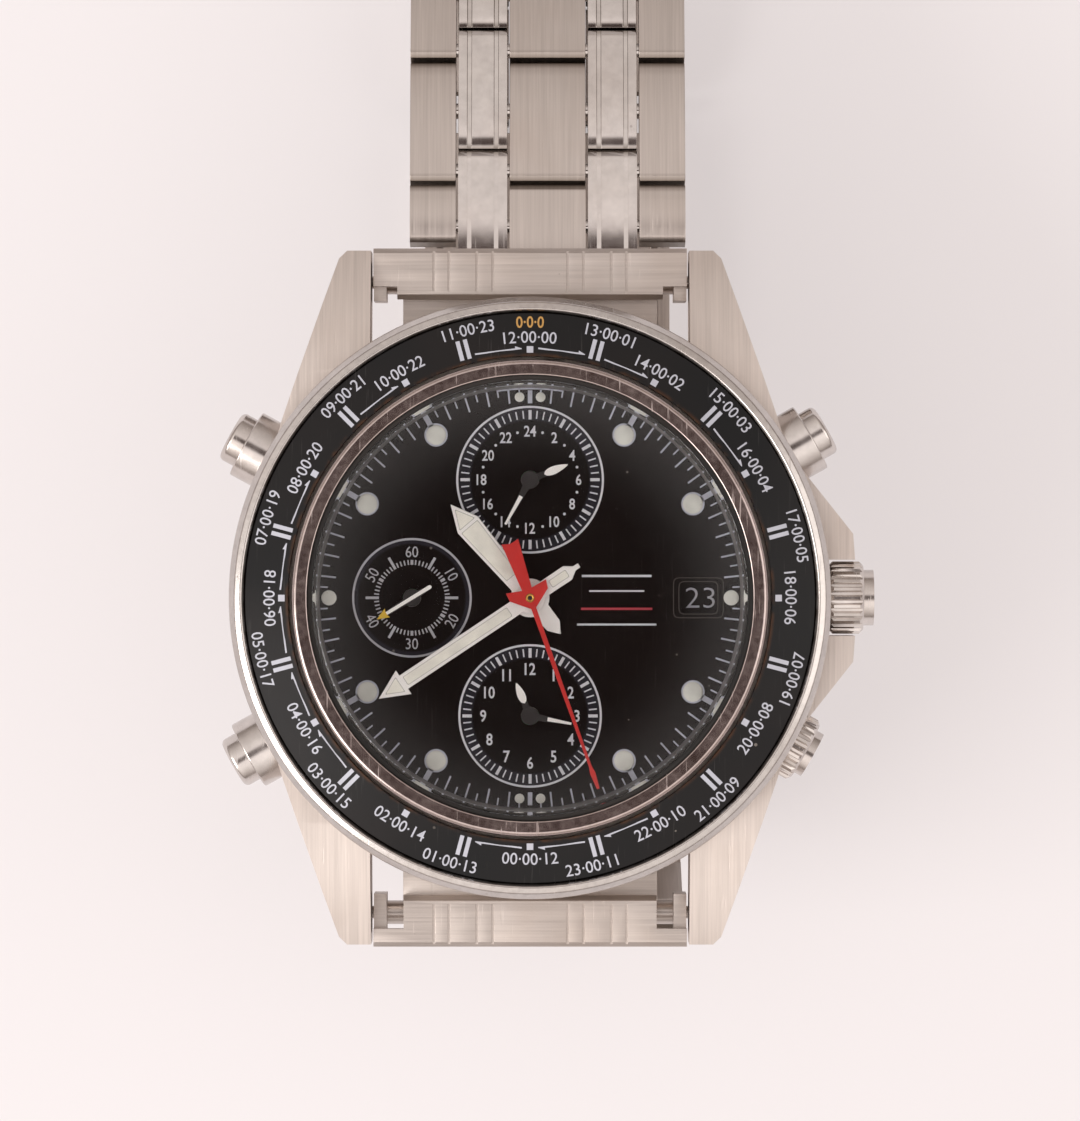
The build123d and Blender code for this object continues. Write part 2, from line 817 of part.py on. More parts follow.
def end_piece(notch_width, notch_length):
    """Folded piece between the lugs: roof, cheeks on the spring bar and a tongue under the case."""
    half = lug_width / 2 - roof_side_gap
    roof_bottom = roof_top - roof_thick
    roof = side_solid([
        (roof_inner_y, roof_bottom),
        (roof_outer_y, roof_bottom),
        (roof_outer_y, roof_top - roof_edge),
        (roof_outer_y - roof_edge, roof_top),
        (roof_inner_y + roof_edge, roof_top),
        (roof_inner_y, roof_top - roof_edge),
    ], -half, half)
    for end in (-1, 1):
        low_x, high_x = sorted((end * (half - notch_width), end * (half + overrun)))
        roof -= block((low_x, roof_inner_y - overrun, roof_bottom - overrun),
                      (high_x, roof_inner_y + notch_length, roof_top + overrun))
        for groove_x in groove_xs:
            x = end * groove_x
            roof -= block((x - groove_width / 2, roof_inner_y + groove_stop, roof_top - groove_depth),
                          (x + groove_width / 2, roof_outer_y + overrun, roof_top + overrun))
    cheek_high = half - fit_gap
    cheek_low = cheek_high - cheek_thick
    for end in (-1, 1):
        low_x, high_x = sorted((end * cheek_low, end * cheek_high))
        roof += side_solid([
            (bar_y - cheek_reach, bar_z - cheek_reach),
            (bar_y + cheek_reach, bar_z - cheek_reach),
            (bar_y + cheek_reach, roof_bottom),
            (bar_y - cheek_reach, roof_bottom),
        ], low_x, high_x)
    tongue_start = case_radius + tongue_gap
    web_end = roof_inner_y + roof_edge
    tongue = block((-tongue_half, 0, tongue_low), (tongue_half, web_end, tongue_low + tongue_thick))
    tongue -= cylinder(tongue_start, tongue_low - overrun, roof_top)
    web = block((-tongue_half, roof_inner_y, tongue_low), (tongue_half, web_end, roof_bottom))
    piece = roof + (tongue + web)
    hole_end = half + overrun
    return piece - cross_bar(bar_radius + fit_gap, bar_y, bar_z, -hole_end, hole_end)


def make_end_pieces():
    save("end_piece_upper", end_piece(upper_notch_width, upper_notch_length))
    save("end_piece_lower", end_piece(lower_notch_width, lower_notch_length).mirror(Plane.XZ))


def link_section(start, end, round_start, round_end, side):
    """Outline of one strip of a link in (along, outward): crowned top, rounded about its pin below."""
    low = -link_overlap
    edge = link_edge
    points = [(start, 0 if round_start else low + edge)]
    points.append((start, link_crown - edge))
    points.append((start + edge, link_crown))
    points.append((end - edge, link_crown))
    points.append((end, link_crown - edge))
    if round_end:
        centre = end - link_overlap
        points.append((end, 0))
        for part in (1, 2, 3):
            turn = math.radians(part * quarter_turn / 3)
            points.append((centre + link_overlap * math.cos(turn), -link_overlap * math.sin(turn)))
    else:
        points.append((end, low + edge))
        points.append((end - edge, low))
    if round_start:
        centre = start + link_overlap
        for part in (3, 2, 1):
            turn = math.radians(part * quarter_turn / 3)
            points.append((centre - link_overlap * math.cos(turn), -link_overlap * math.sin(turn)))
    else:
        points.append((start + edge, low))
    return [(side * u, w) for u, w in points]


def chain(side, slopes):
    """Pin places and slopes of one half of the bracelet, from its spring bar on."""
    y = side * bar_y
    z = bar_z
    places = []
    for index, slope in enumerate(slopes):
        places.append((y, z, slope))
        length = first_pitch if index == 0 else link_pitch
        y += side * length * math.cos(math.radians(slope))
        z -= length * math.sin(math.radians(slope))
    places.append((y, z, half_turn))
    return places


def placed(solid, side, y, z, slope):
    return Pos(side_play, y, z) * Rot(-side * slope, 0, 0) * solid


def strip(side, start, end, round_start, round_end, x_low, x_high):
    return side_solid(link_section(start, end, round_start, round_end, side), x_low, x_high)


def make_links():
    for label, side, slopes in (("upper", 1, upper_link_angles), ("lower", -1, lower_link_angles)):
        for index, (y, z, slope) in enumerate(chain(side, slopes)[:-1]):
            first = index == 0
            pitch = first_pitch if first else link_pitch
            hole = (bar_radius + bar_running_gap) if first else (pin_radius + pin_clearance)
            row_end = pitch - link_overlap - link_gap
            centre_start = 0 if first else -link_overlap
            centre = strip(side, centre_start, row_end, not first, False, -centre_half, centre_half)
            if first:
                centre += cross_bar(bar_radius + knuckle_wall, 0, 0, -centre_half, centre_half)
            row = [centre]
            for end in (-1, 1):
                x_low, x_high = sorted((end * flank_inner, end * flank_outer))
                flank_start = first_flank_start if first else -link_overlap
                row.append(strip(side, flank_start, row_end, not first, False, x_low, x_high))
            bead_start = link_overlap + link_gap
            beads = []
            for end in (-1, 1):
                x_low, x_high = sorted((end * bead_inner, end * bead_outer))
                bead = strip(side, bead_start, pitch + link_overlap, False, True, x_low, x_high)
                middle = (x_low + x_high) / 2
                for groove in (-1, 1):
                    x = middle + groove * bead_groove_x
                    bead_end = pitch + link_overlap + overrun
                    low_u, high_u = sorted((side * (bead_start - overrun), side * bead_end))
                    bead -= block((x - bead_groove_width / 2, low_u, link_crown - bead_groove_depth),
                                  (x + bead_groove_width / 2, high_u, link_crown + overrun))
                beads.append(bead)
            own_hole = cross_bar(hole, 0, 0, -flank_outer - overrun, flank_outer + overrun)
            next_u = side * pitch
            next_hole = cross_bar(pin_radius, next_u, 0, -flank_outer, flank_outer)
            tie_u = side * (pitch / 2)
            tie = cross_bar(pin_radius, tie_u, 0, -flank_outer, flank_outer)
            row = [piece - own_hole - tie for piece in row]
            beads = [piece - next_hole - tie for piece in beads]
            pins = [next_hole, tie]
            name = "link_" + label + "_" + str(index + 1)
            save(name + "_row", *[placed(piece, side, y, z, slope) for piece in row])
            save(name + "_beads", *[placed(piece, side, y, z, slope) for piece in beads + pins])


def make_clasp():
    """Folded clasp: u runs from the upper half of the bracelet to the lower half."""
    y, z, _ = chain(1, upper_link_angles)[-1]
    lower_y, lower_z, _ = chain(-1, lower_link_angles)[-1]
    tilt = half_turn - math.degrees(math.atan2(lower_z - z, y - lower_y))
    clasp_length = math.hypot(y - lower_y, z - lower_z) - link_overlap - clasp_gap

    def put(solid):
        return placed(solid, 1, y, z, tilt)

    hinge_u = clasp_length - blade_hinge_back
    blade_top = -blade_one_rise
    blade_bottom = blade_top - blade_thick
    inner_half = blade_half - ear_width - ear_gap
    one = block((-blade_half, blade_one_start, blade_bottom), (blade_half, hinge_u, blade_top))
    one += cross_bar(clasp_knuckle, 0, 0, -centre_half, centre_half)
    one += block((-centre_half, 0, -clasp_knuckle), (centre_half, blade_one_start + blade_thick, blade_top))
    one -= cross_bar(pin_radius + pin_clearance, 0, 0, -blade_half, blade_half)
    for end in (-1, 1):
        x_low, x_high = sorted((end * (blade_half - ear_width), end * blade_half))
        one += cross_bar(eye_radius, hinge_u, 0, x_low, x_high)
        one += block((x_low, hinge_u - eye_radius, blade_bottom), (x_high, hinge_u, 0))
    one += cross_bar(eye_pin_radius, hinge_u, 0, -blade_half, blade_half)
    save("clasp_blade_inner", put(one))

    half_thick = blade_thick / 2
    two = block((-inner_half, cover_hinge, -half_thick), (inner_half, hinge_u, half_thick))
    for u in (cover_hinge, hinge_u):
        two += cross_bar(eye_radius - eye_relief, u, 0, -inner_half, inner_half)
        two -= cross_bar(eye_pin_radius + eye_clearance, u, 0, -blade_half, blade_half)
    save("clasp_blade_outer", put(two))

    cover_outer = cover_inner + cover_thick
    cover = block((-cover_half, cover_start, cover_inner), (cover_half, clasp_length, cover_outer))
    for end in (-1, 1):
        x_low, x_high = sorted((end * (cover_half - cover_wall), end * cover_half))
        cover += block((x_low, cover_wall_start, blade_bottom), (x_high, clasp_length, cover_outer))
    cover += cross_bar(eye_pin_radius, cover_hinge, 0, -cover_half, cover_half)
    save("clasp_cover", put(cover))
    print("clasp tilt", round(tilt, 4), "length", round(clasp_length, 4))


os.makedirs("parts", exist_ok=True)
make_case()
make_back()
make_bezel()
make_glass()
make_dial()
make_movement()
make_centre_hands()
make_small_hands()
make_crowns()
make_pushers()
make_spring_bars()
make_end_pieces()
make_links()
make_clasp()
for label, side, slopes in (("upper", 1, upper_link_angles), ("lower", -1, lower_link_angles)):
    for y, z, slope in chain(side, slopes):
        print(label, "pin at", round(y, 4), round(z, 4), "slope", slope)
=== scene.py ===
import json
import math

import bmesh
import bpy
import numpy as np
from bpy.props import FloatProperty, FloatVectorProperty, PointerProperty
from bpy.types import Operator, Panel, PropertyGroup
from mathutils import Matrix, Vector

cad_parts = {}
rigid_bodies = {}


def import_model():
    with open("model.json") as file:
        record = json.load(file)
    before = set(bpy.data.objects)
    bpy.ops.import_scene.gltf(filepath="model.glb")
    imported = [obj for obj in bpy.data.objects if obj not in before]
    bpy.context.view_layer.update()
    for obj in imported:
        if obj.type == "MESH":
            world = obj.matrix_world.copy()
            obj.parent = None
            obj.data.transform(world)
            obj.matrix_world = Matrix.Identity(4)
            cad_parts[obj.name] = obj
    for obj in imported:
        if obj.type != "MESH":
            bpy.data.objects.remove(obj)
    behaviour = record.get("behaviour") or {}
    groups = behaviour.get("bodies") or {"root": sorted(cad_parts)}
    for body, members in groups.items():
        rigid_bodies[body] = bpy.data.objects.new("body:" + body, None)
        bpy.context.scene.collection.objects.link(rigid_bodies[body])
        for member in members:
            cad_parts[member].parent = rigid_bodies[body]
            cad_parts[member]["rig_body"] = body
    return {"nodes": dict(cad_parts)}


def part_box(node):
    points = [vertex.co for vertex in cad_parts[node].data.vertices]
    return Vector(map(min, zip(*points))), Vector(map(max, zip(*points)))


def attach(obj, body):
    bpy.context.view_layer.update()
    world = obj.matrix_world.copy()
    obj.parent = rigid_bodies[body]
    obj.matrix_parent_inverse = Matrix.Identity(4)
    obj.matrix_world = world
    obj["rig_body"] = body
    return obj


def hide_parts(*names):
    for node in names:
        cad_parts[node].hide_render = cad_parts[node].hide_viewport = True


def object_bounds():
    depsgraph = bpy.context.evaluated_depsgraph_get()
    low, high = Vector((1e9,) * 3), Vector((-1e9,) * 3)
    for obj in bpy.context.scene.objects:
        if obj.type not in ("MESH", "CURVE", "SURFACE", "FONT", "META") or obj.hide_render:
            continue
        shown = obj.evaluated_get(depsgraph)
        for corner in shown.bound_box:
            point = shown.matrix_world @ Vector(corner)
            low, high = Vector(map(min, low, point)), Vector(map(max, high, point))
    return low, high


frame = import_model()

bl_info = {
    "name": "World time watch",
    "version": (1, 0, 0),
    "blender": (4, 5, 0),
    "location": "View3D > Sidebar > Watch",
    "description": "Finishes a steel world time watch and sets its stage",
    "category": "Object",
}

cad_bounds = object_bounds()
nodes = frame["nodes"]
mm = 0.001
full_turn = 2 * math.pi
dial_centre = (0.0, 0.0)

# Bearings and turns in degrees, clockwise from twelve
hour_step = 30.0
minute_step = 6.0
zone_step = 15.0
tens_step = 60.0
quarters = (0.0, 90.0, 180.0, 270.0)
pair_turn = 3.0
square_gap = 1.9
bar_gap = 2.3
arrow_starts = (-135, -120, -105, -90, -75, -45, -15, 0, 15, 45, 150, 165, 180)
flip_start, flip_end = 100, 260
outer_shift = 2.0
date_bearing = 90.0
side_bearings = (90.0, 270.0)
pair_bearings = (0.0, 180.0)
arc_turn = 9.0
counter_texts = (("60", 0.0), ("10", 60.0), ("20", -60.0), ("30", 0.0), ("40", 60.0), ("50", -60.0))

# Counts
day_hours = 24
noon = 12
month_days = 31
shown_day = 23
arch_cuts = 9
arrow_cuts = 9

# Places and outlines in millimetres, in a hand's own place or about the middle of the dial
rules_x = 5.35
dial_rules = (("white_rules", "white_print", ((1.35, 4.3, 0.14), (0.42, 3.4, 0.1), (-1.65, 4.9, 0.12))),
              ("red_rule", "red_print", ((-0.68, 4.4, 0.14),)))
frame_growths = ((0.03, 0.03), (0.36, 0.26))
frame_corner = 0.35
hour_inlays = ([(0.0, 7.12), (0.57, 6.02), (-0.57, 6.02)],
               [(0.62, 5.76), (0.4, 1.75), (-0.4, 1.75), (-0.62, 5.76)])
minute_inlays = ([(0.0, 10.72), (0.5, 9.68), (-0.5, 9.68)],
                 [(0.27, 9.25), (0.29, 1.55), (-0.29, 1.55), (-0.27, 9.25)],
                 [(0.22, -1.55), (0.22, -2.75), (-0.22, -2.75), (-0.22, -1.55)])
inlay_corner = 0.09
counter_arrow = ((0.0, 2.55), (-0.32, 1.78), (-0.1, 1.86), (0.1, 1.86), (0.32, 1.78))
counter_head = 1.9
counter_tail = 1.39

# Small hands: start and end of a white blade from the pivot in millimetres, and whether it is a leaf
blade_reaches = {
    "local_hour": (0.95, 2.5, True),
    "alarm_hour": (0.85, 2.2, True),
    "local_minute": (1.15, 3.15, False),
    "alarm_minute": (1.1, 2.6, False),
}

# Pin of the sweep hand: radius and height above the hand in millimetres, from the outside in
pin_rim = ((0.27, 0.05), (0.22, 0.09), (0.15, 0.07), (0.13, 0.02))
pin_core = ((0.12, 0.03),)

# Edge of the glass in millimetres: width of its bevel and radii from the lower middle to the upper middle
glass_bevel = 0.25
glass_corners = (0.0, 0.06, 0.06, 0.08, 0.0)

# Arrows: distance of the neck from the tip, and reach of the barb, in widths of the shaft
arrow_neck = 4.0
arrow_barb = 1.8

# Ticks: width of a half tick as a share of a minute tick's, widths of the counter's ticks as shares of a wide
# tick's, and what a thin tick leaves out of its length
half_tick_share = 0.85
ten_tick_share = 0.9
long_tick_share = 0.85
tick_trim = 0.1

# Shares: a dome's height of its radius, and a baton's taper and the head of the counter's bar of their widths
dome_share = 0.18
baton_taper = 0.45
bar_tip = 0.8

# Small dials: height of a step, and how far the raised band, painted paler as sheen, reaches inside the ticks
floor_step = 0.02 * mm
band_margin = 0.1 * mm

# Links: distance of a bead's middle line from the middle of the bracelet
bead_x = 4.0 * mm

# Brightness of the bracelet, the end pieces and the bezel as a share of the case's
outer_shade = 0.84

# Clean-up of CAD meshes: distance of points that are one, and angle in degrees between faces that are one
same_point = 0.002 * mm
same_face = 0.6

# Grime: heights between which it begins above the case's wall, and radius and width of each band
grime_start = 7.3 * mm
grime_full = 7.6 * mm
case_grime = (18.2 * mm, 0.5 * mm)
bezel_grime = (17.8 * mm, 0.12 * mm)
ring_grime = (15.05 * mm, 0.2 * mm)
glass_ring_grime = (14.85 * mm, 0.14 * mm)

# Brushed grain: lines per metre along each axis
along_y = (8500.0, 160.0, 160.0)
along_x = (170.0, 8500.0, 8500.0)
even_grain = (1400.0, 1400.0, 1400.0)
fine_grain = (2600.0, 2600.0, 2600.0)

# Scratches: turn in radians, and lines per metre along each axis
scratch_lines = ((0.5, (6500.0, 260.0, 900.0)), (2.1, (5200.0, 200.0, 900.0)),
                 (-0.75, (7500.0, 320.0, 900.0)))

# Sky: sine of the height, from the horizon to straight overhead, and the colour there
sky_steps = ((0.0, (0.16, 0.13, 0.115)), (0.3, (0.50, 0.45, 0.425)), (0.6, (0.78, 0.72, 0.69)),
             (0.85, (1.0, 0.94, 0.91)), (0.976, (0.97, 0.90, 0.88)), (0.99, (0.03, 0.015, 0.015)))

# Lamps: name, place and size in metres, and power in watts
lamp_rows = (
    ("lamp_left", (-0.40, -0.20, 0.34), 0.34, 2.0),
    ("lamp_right", (0.44, 0.02, 0.34), 0.36, 0.4),
)

# Node, finish, slot and width of the rounded edges in millimetres
case_nodes = (
    ("case_body", "brushed_case", "brushed_case", 0.1),
    ("case_back", "case_back_steel", "brushed_case", 0.08),
    ("bezel_ring", "polished_bezel", "polished_steel", 0.1),
    ("glass_ring", "polished_ring", "polished_steel", 0.1),
    ("crown_tubes", "pin_steel", "pin_steel", 0.05),
    ("spring_bars", "pin_steel", "pin_steel", 0.05),
    ("end_piece_upper", "brushed_end", "brushed_case", 0.1),
    ("end_piece_lower", "brushed_end", "brushed_case", 0.1),
    ("back_gasket", "rubber", "gasket", 0),
    ("glass_gasket", "rubber", "gasket", 0),
)
control_nodes = (
    ("crown", "polished_controls", "polished_steel", 0.05),
    ("alarm_crown", "polished_controls", "polished_steel", 0.05),
    ("crown_stem", "pin_steel", "pin_steel", 0.04),
    ("alarm_stem", "pin_steel", "pin_steel", 0.04),
    ("pusher_collars", "polished_controls", "polished_steel", 0.1),
    ("pusher_upper_right", "polished_controls", "polished_steel", 0.12),
    ("pusher_upper_left", "polished_controls", "polished_steel", 0.12),
    ("pusher_lower_left", "polished_controls", "polished_steel", 0.12),
)
ring_nodes = (("city_ring", "ring_black", "city_black", 0.06),)
dial_nodes = (
    ("dial", "dial_black", "dial_black", 0),
    ("dial_flange", "flange_black", "black_flange", 0),
)
date_nodes = (("date_disc", "dial_black", "date_print", 0),)
hand_nodes = (
    ("hour_hand", "hand_white", "white_hand", 0.04),
    ("minute_hand", "hand_white", "white_hand", 0.04),
    ("sweep_hand", "hand_red", "red_hand", 0.02),
)
small_hand_nodes = tuple((name, "hand_black", "white_hand", 0.015) for name in (
    "local_hour_hand", "alarm_hour_hand", "local_minute_hand", "alarm_minute_hand", "counter_hand"))
movement_nodes = (
    ("movement_plate", "movement_metal", "movement_metal", 0.05),
    ("movement_holder", "holder_plastic", "holder_plastic", 0.05),
    ("battery", "cell_steel", "battery_steel", 0.1),
    ("drive_coil", "copper_coil", "coil_copper", 0.04),
    ("circuit_board", "board_green", "board_green", 0.03),
    ("buzzer", "cell_steel", "battery_steel", 0.03),
)

# Bracelet: part of a node's name, finish, slot, width of the edges and fall of the ends in millimetres
bracelet_kinds = (
    ("_row", "brushed_links", "brushed_links", 0.15, 0.3),
    ("_beads", "polished_links", "polished_links", 0.12, 0.3),
    ("clasp", "clasp_steel", "brushed_links", 0.12, 0.0),
)


def length(name, description, default):
    return FloatProperty(name=name, description=description, default=default * mm, unit="LENGTH", precision=5)


def colour(name, description, default):
    return FloatVectorProperty(name=name, description=description, default=default, subtype="COLOR", size=3,
                               min=0.0, max=1.0)


class RingSizes(PropertyGroup):
    inner: length("Inner radius", "Inner radius of the black ring", 15.0)
    outer: length("Outer radius", "Outer radius of the black ring", 17.73)
    inner_top: length("Inner height", "Height of the ring's inner edge", 10.25)
    outer_top: length("Outer height", "Height of the ring's outer edge", 9.505)
    square: length("Square", "Side of the hour squares", 0.41)
    square_radius: length("Square place", "Distance of the hour squares from the centre", 15.42)
    bar_inner: length("Bar start", "Inner end of the double bars", 15.3)
    bar_outer: length("Bar end", "Outer end of the double bars", 16.55)
    bar_width: length("Bar width", "Width of one bar", 0.26)
    bar_pitch: length("Bar pitch", "Distance between the two bars of a pair", 0.47)
    arrow_radius: length("Arrow place", "Distance of the arrows from the centre", 15.5)
    arrow_width: length("Arrow width", "Width of an arrow's shaft", 0.1)
    inner_row: length("Inner row", "Middle of the inner row of numbers", 16.2)
    outer_row: length("Outer row", "Middle of the outer row of numbers", 17.1)
    inner_number: length("Inner numbers", "Height of the inner row's numbers", 0.74)
    outer_number: length("Outer numbers", "Height of the outer row's numbers", 0.74)
    zero_row: length("Zero row", "Middle of the gold zeros", 17.14)


class DialSizes(PropertyGroup):
    top: length("Dial height", "Height of the dial's face", 6.8)
    track: length("Track radius", "Outer end of the minute ticks", 12.98)
    long_tick: length("Minute tick", "Length of a minute tick", 0.92)
    short_tick: length("Half tick", "Length of a half minute tick", 0.46)
    tick_width: length("Tick width", "Width of a tick", 0.11)
    arc: length("Arc", "Width of the printed arc at twelve", 0.1)
    dot: length("Hour dot", "Radius of an hour dot", 0.72)
    lume: length("Lume dot", "Radius of the lume on an hour dot", 0.62)
    dot_radius: length("Dot place", "Distance of the hour dots from the centre", 11.62)
    side_dot: length("Side dot", "Radius of the dots at three and nine", 0.47)
    side_radius: length("Side dot place", "Distance of those dots from the centre", 12.43)
    pair_dot: length("Pair dot", "Radius of the two dots at twelve and at six", 0.3)
    pair_radius: length("Pair dot place", "Distance of those dots from the centre", 12.42)
    post: length("Post", "Length of the bar between the two dots", 0.8)
    post_width: length("Post width", "Width of the bar between the two dots", 0.28)
    stem_width: length("Stem width", "Width of the stem from a dot to the track", 0.34)
    window_x: length("Window place", "Distance of the date window from the centre", 10.4)
    window_width: length("Window width", "Width of the date window", 2.3)
    window_height: length("Window height", "Height of the date window", 1.9)
    frame_line: length("Frame line", "Width of the faint frames about the window", 0.05)
    date_row: length("Date row", "Distance of the dates from the centre", 10.5)
    date_top: length("Date disc", "Height of the date disc's face", 5.95)
    date_height: length("Date height", "Height of the dates", 1.25)
    print_rise: length("Print", "Thickness of the print", 0.012)


class SmallDialSizes(PropertyGroup):
    floor: length("Small dial height", "Height of the sunk small dials", 6.74)
    distance: length("Small dials", "Distance of the small dials from the centre", 7.3)
    local: length("Local dial", "Radius of the dial below twelve", 4.5)
    alarm: length("Alarm dial", "Radius of the dial above six", 4.37)
    counter: length("Counter dial", "Radius of the dial beside nine", 3.63)
    line: length("Line", "Width of the printed circles", 0.13)
    hole: length("Hole", "Radius of the open middle", 0.62)
    groove: length("Groove", "Distance between the turned grooves", 0.09)
    local_row: length("Local numbers", "Distance of the local numbers from their pivot", 3.0)
    alarm_row: length("Alarm numbers", "Distance of the alarm numbers from their pivot", 2.9)
    counter_row: length("Counter numbers", "Distance of the counter numbers from their pivot", 2.84)
    local_number: length("Local number", "Height of the local numbers", 0.68)
    alarm_number: length("Alarm number", "Height of the alarm numbers", 0.74)
    counter_number: length("Counter number", "Height of the counter numbers", 0.68)
    local_track: length("Local ticks", "Inner end of the local dial's ticks", 3.72)
    alarm_track: length("Alarm ticks", "Inner end of the alarm dial's ticks", 3.6)
    track_width: length("Tick length", "Length of the local and alarm ticks", 0.58)
    counter_track: length("Counter ticks", "Inner end of the counter's ticks", 2.04)
    counter_tick: length("Counter tick", "Length of the counter's ticks", 0.3)
    counter_reach: length("Long ticks", "Outer end of the counter's long ticks", 2.86)
    thin: length("Thin tick", "Width of a thin tick", 0.085)
    wide: length("Wide tick", "Width of a wide tick", 0.19)
    spot: length("Spot", "Radius of the dots between the local numbers", 0.085)


class HandSizes(PropertyGroup):
    hour_angle: FloatProperty(name="Hour hand", description="Bearing in degrees", default=319.6)
    minute_angle: FloatProperty(name="Minute hand", description="Bearing in degrees", default=236.3)
    local_hour: FloatProperty(name="Local hour hand", description="Bearing in degrees", default=68.0)
    local_minute: FloatProperty(name="Local minute hand", description="Bearing in degrees", default=209.0)
    alarm_hour: FloatProperty(name="Alarm hour hand", description="Bearing in degrees", default=337.0)
    alarm_minute: FloatProperty(name="Alarm minute hand", description="Bearing in degrees", default=100.8)
    counter: FloatProperty(name="Counter hand", description="Bearing in degrees", default=238.5)
    rise: length("Lume rise", "Height of the lume above a hand", 0.02)
    # painted shadow: the width of the grey line about the lume, which stands for the shade at the edge of its
    # recess
    groove: length("Inlay groove", "Width of the dark line about the lume", 0.035)
    leaf: length("Leaf width", "Half width of the small hour hands", 0.23)
    baton: length("Baton width", "Half width of the small minute hands", 0.125)
    bar: length("Bar width", "Width of the counter hand's bar", 0.24)


class Finishes(PropertyGroup):
    steel: colour("Steel", "Colour of the brushed steel", (0.715, 0.642, 0.592))
    polish: colour("Polish", "Colour of the polished steel", (0.7, 0.655, 0.625))
    stain: colour("Stain", "Colour of the stains on the steel", (0.42, 0.33, 0.27))
    black: colour("Dial black", "Colour of the dial", (0.0045, 0.0034, 0.0031))
    ring_black: colour("Ring black", "Colour of the number ring", (0.0085, 0.0085, 0.0090))
    # painted sheen: the bands under the small dials' ticks are painted paler and bluer than the dial, for the
    # light their slopes catch
    band: colour("Band", "Colour of the bands under the small dials' ticks", (0.018, 0.018, 0.025))
    track: colour("Track", "Colour of the minute track", (0.52, 0.54, 0.63))
    ring_white: colour("Ring print", "Colour of the number ring's print", (0.46, 0.47, 0.53))
    white: colour("Print white", "Colour of the print", (0.68, 0.69, 0.74))
    hand: colour("Hand white", "Colour of the hands", (0.93, 0.91, 0.89))
    lume: colour("Lume", "Colour of the lume", (0.94, 0.92, 0.84))
    red: colour("Red", "Colour of the sweep hand", (0.62, 0.012, 0.008))
    yellow: colour("Yellow", "Colour of the counter hand's tip", (0.80, 0.52, 0.03))
    gold: colour("Gold", "Colour of the gilt parts", (0.62, 0.34, 0.09))
    speck: colour("Specks", "Colour of the specks on the steel", (0.09, 0.07, 0.05))
    grime: colour("Grime", "Colour of the bands of grime on the steel", (0.10, 0.055, 0.025))
    # painted shade: this colour darkens the ends of the links, in the gaps between them
    link_grime: colour("Link grime", "Colour of the grime at the ends of the links", (0.10, 0.07, 0.045))
    ring_grime: colour("Ring grime", "Colour of the grime on the number ring", (0.052, 0.024, 0.012))
    scuff: colour("Scuff", "Colour of the scratches on black", (0.35, 0.33, 0.32))
    dust: colour("Dust", "Colour of the dust on black", (0.38, 0.34, 0.30))
    small_dust: colour("Small dial dust", "Colour of the dust on the small dials", (0.35, 0.32, 0.28))
    paint_speck: colour("Paint specks", "Colour of the specks in the paint", (0.25, 0.23, 0.18))
    grey: colour("Grey print", "Colour of the counter's print and the dates", (0.44, 0.44, 0.48))
    faint: colour("Faint print", "Colour of the frames about the date", (0.045, 0.035, 0.028))
    # painted shadow: grey line about a hand's lume, for the shade at the edge of its recess
    groove: colour("Inlay line", "Colour of the line about a hand's lume", (0.46, 0.45, 0.41))
    plum: colour("Red print", "Colour of the red rule", (0.45, 0.03, 0.05))
    dot: colour("Dot lume", "Colour of the lume on the hour dots", (0.78, 0.79, 0.74))
    hub: colour("Hub black", "Colour of the small hands' hubs", (0.012, 0.010, 0.010))
    rubber: colour("Rubber", "Colour of the gaskets", (0.018, 0.017, 0.016))
    plastic: colour("Plastic", "Colour of the movement's holder", (0.55, 0.53, 0.48))
    brass: colour("Movement", "Colour of the movement's plate", (0.62, 0.57, 0.47))
    flange: colour("Inner ring", "Colour of the dial's inner ring", (0.38, 0.36, 0.36))
    flange_patch: colour("Inner ring patches", "Colour of its duller patches", (0.26, 0.24, 0.23))
    flange_scuff: colour("Inner ring scuffs", "Colour of its scratches", (0.5, 0.48, 0.46))


class StageSettings(PropertyGroup):
    floor: colour("Floor", "Colour of the floor", (0.745, 0.72, 0.73))
    backdrop: colour("Backdrop", "Even colour of the floor to the camera and in reflections",
                     (0.92, 0.86, 0.86))
    evenness: FloatProperty(name="Evenness", description="Share of the even colour in the floor",
                            default=0.45, min=0.0, max=1.0, subtype="FACTOR")
    half_floor: FloatProperty(name="Floor radius", description="Radius of the floor", default=2.5,
                              unit="LENGTH")
    sky_strength: FloatProperty(name="Sky", description="Strength of the sky", default=1.56)
    sky_seen: colour("Seen sky", "Colour of the sky to the camera", (0.69, 0.645, 0.645))
    sky_far: colour("Far sky", "Colour of the sky towards twelve and three", (0.13, 0.10, 0.085))
    lamp: colour("Lamps", "Colour of the lamps", (1.0, 0.97, 0.95))
    height: length("Camera height", "Height of the camera above the ring", 400.0)
    aim_x: length("Camera x", "Place of the camera towards three", 0.62)
    aim_y: length("Camera y", "Place of the camera towards twelve", 2.33)
    frame_height: length("Frame height", "Height of the picture at the ring", 69.63)


def connect(tree, socket, value):
    """Gives a socket a plain value or another node's output."""
    if isinstance(value, bpy.types.NodeSocket):
        tree.links.new(value, socket)
    else:
        socket.default_value = value


def add_node(tree, kind, inputs=None, **settings):
    """Adds a node with its settings and inputs."""
    made = tree.nodes.new(kind)
    for key, value in settings.items():
        setattr(made, key, value)
    for key, value in (inputs or {}).items():
        connect(tree, made.inputs[key], value)
    return made


def maths(tree, operation, *values):
    made = add_node(tree, "ShaderNodeMath", dict(enumerate(values)), operation=operation)
    return made.outputs[0]


def remap(tree, value, low, high, new_low, new_high):
    made = add_node(tree, "ShaderNodeMapRange", {
        "Value": value, "From Min": low, "From Max": high, "To Min": new_low, "To Max": new_high})
    return made.outputs["Result"]


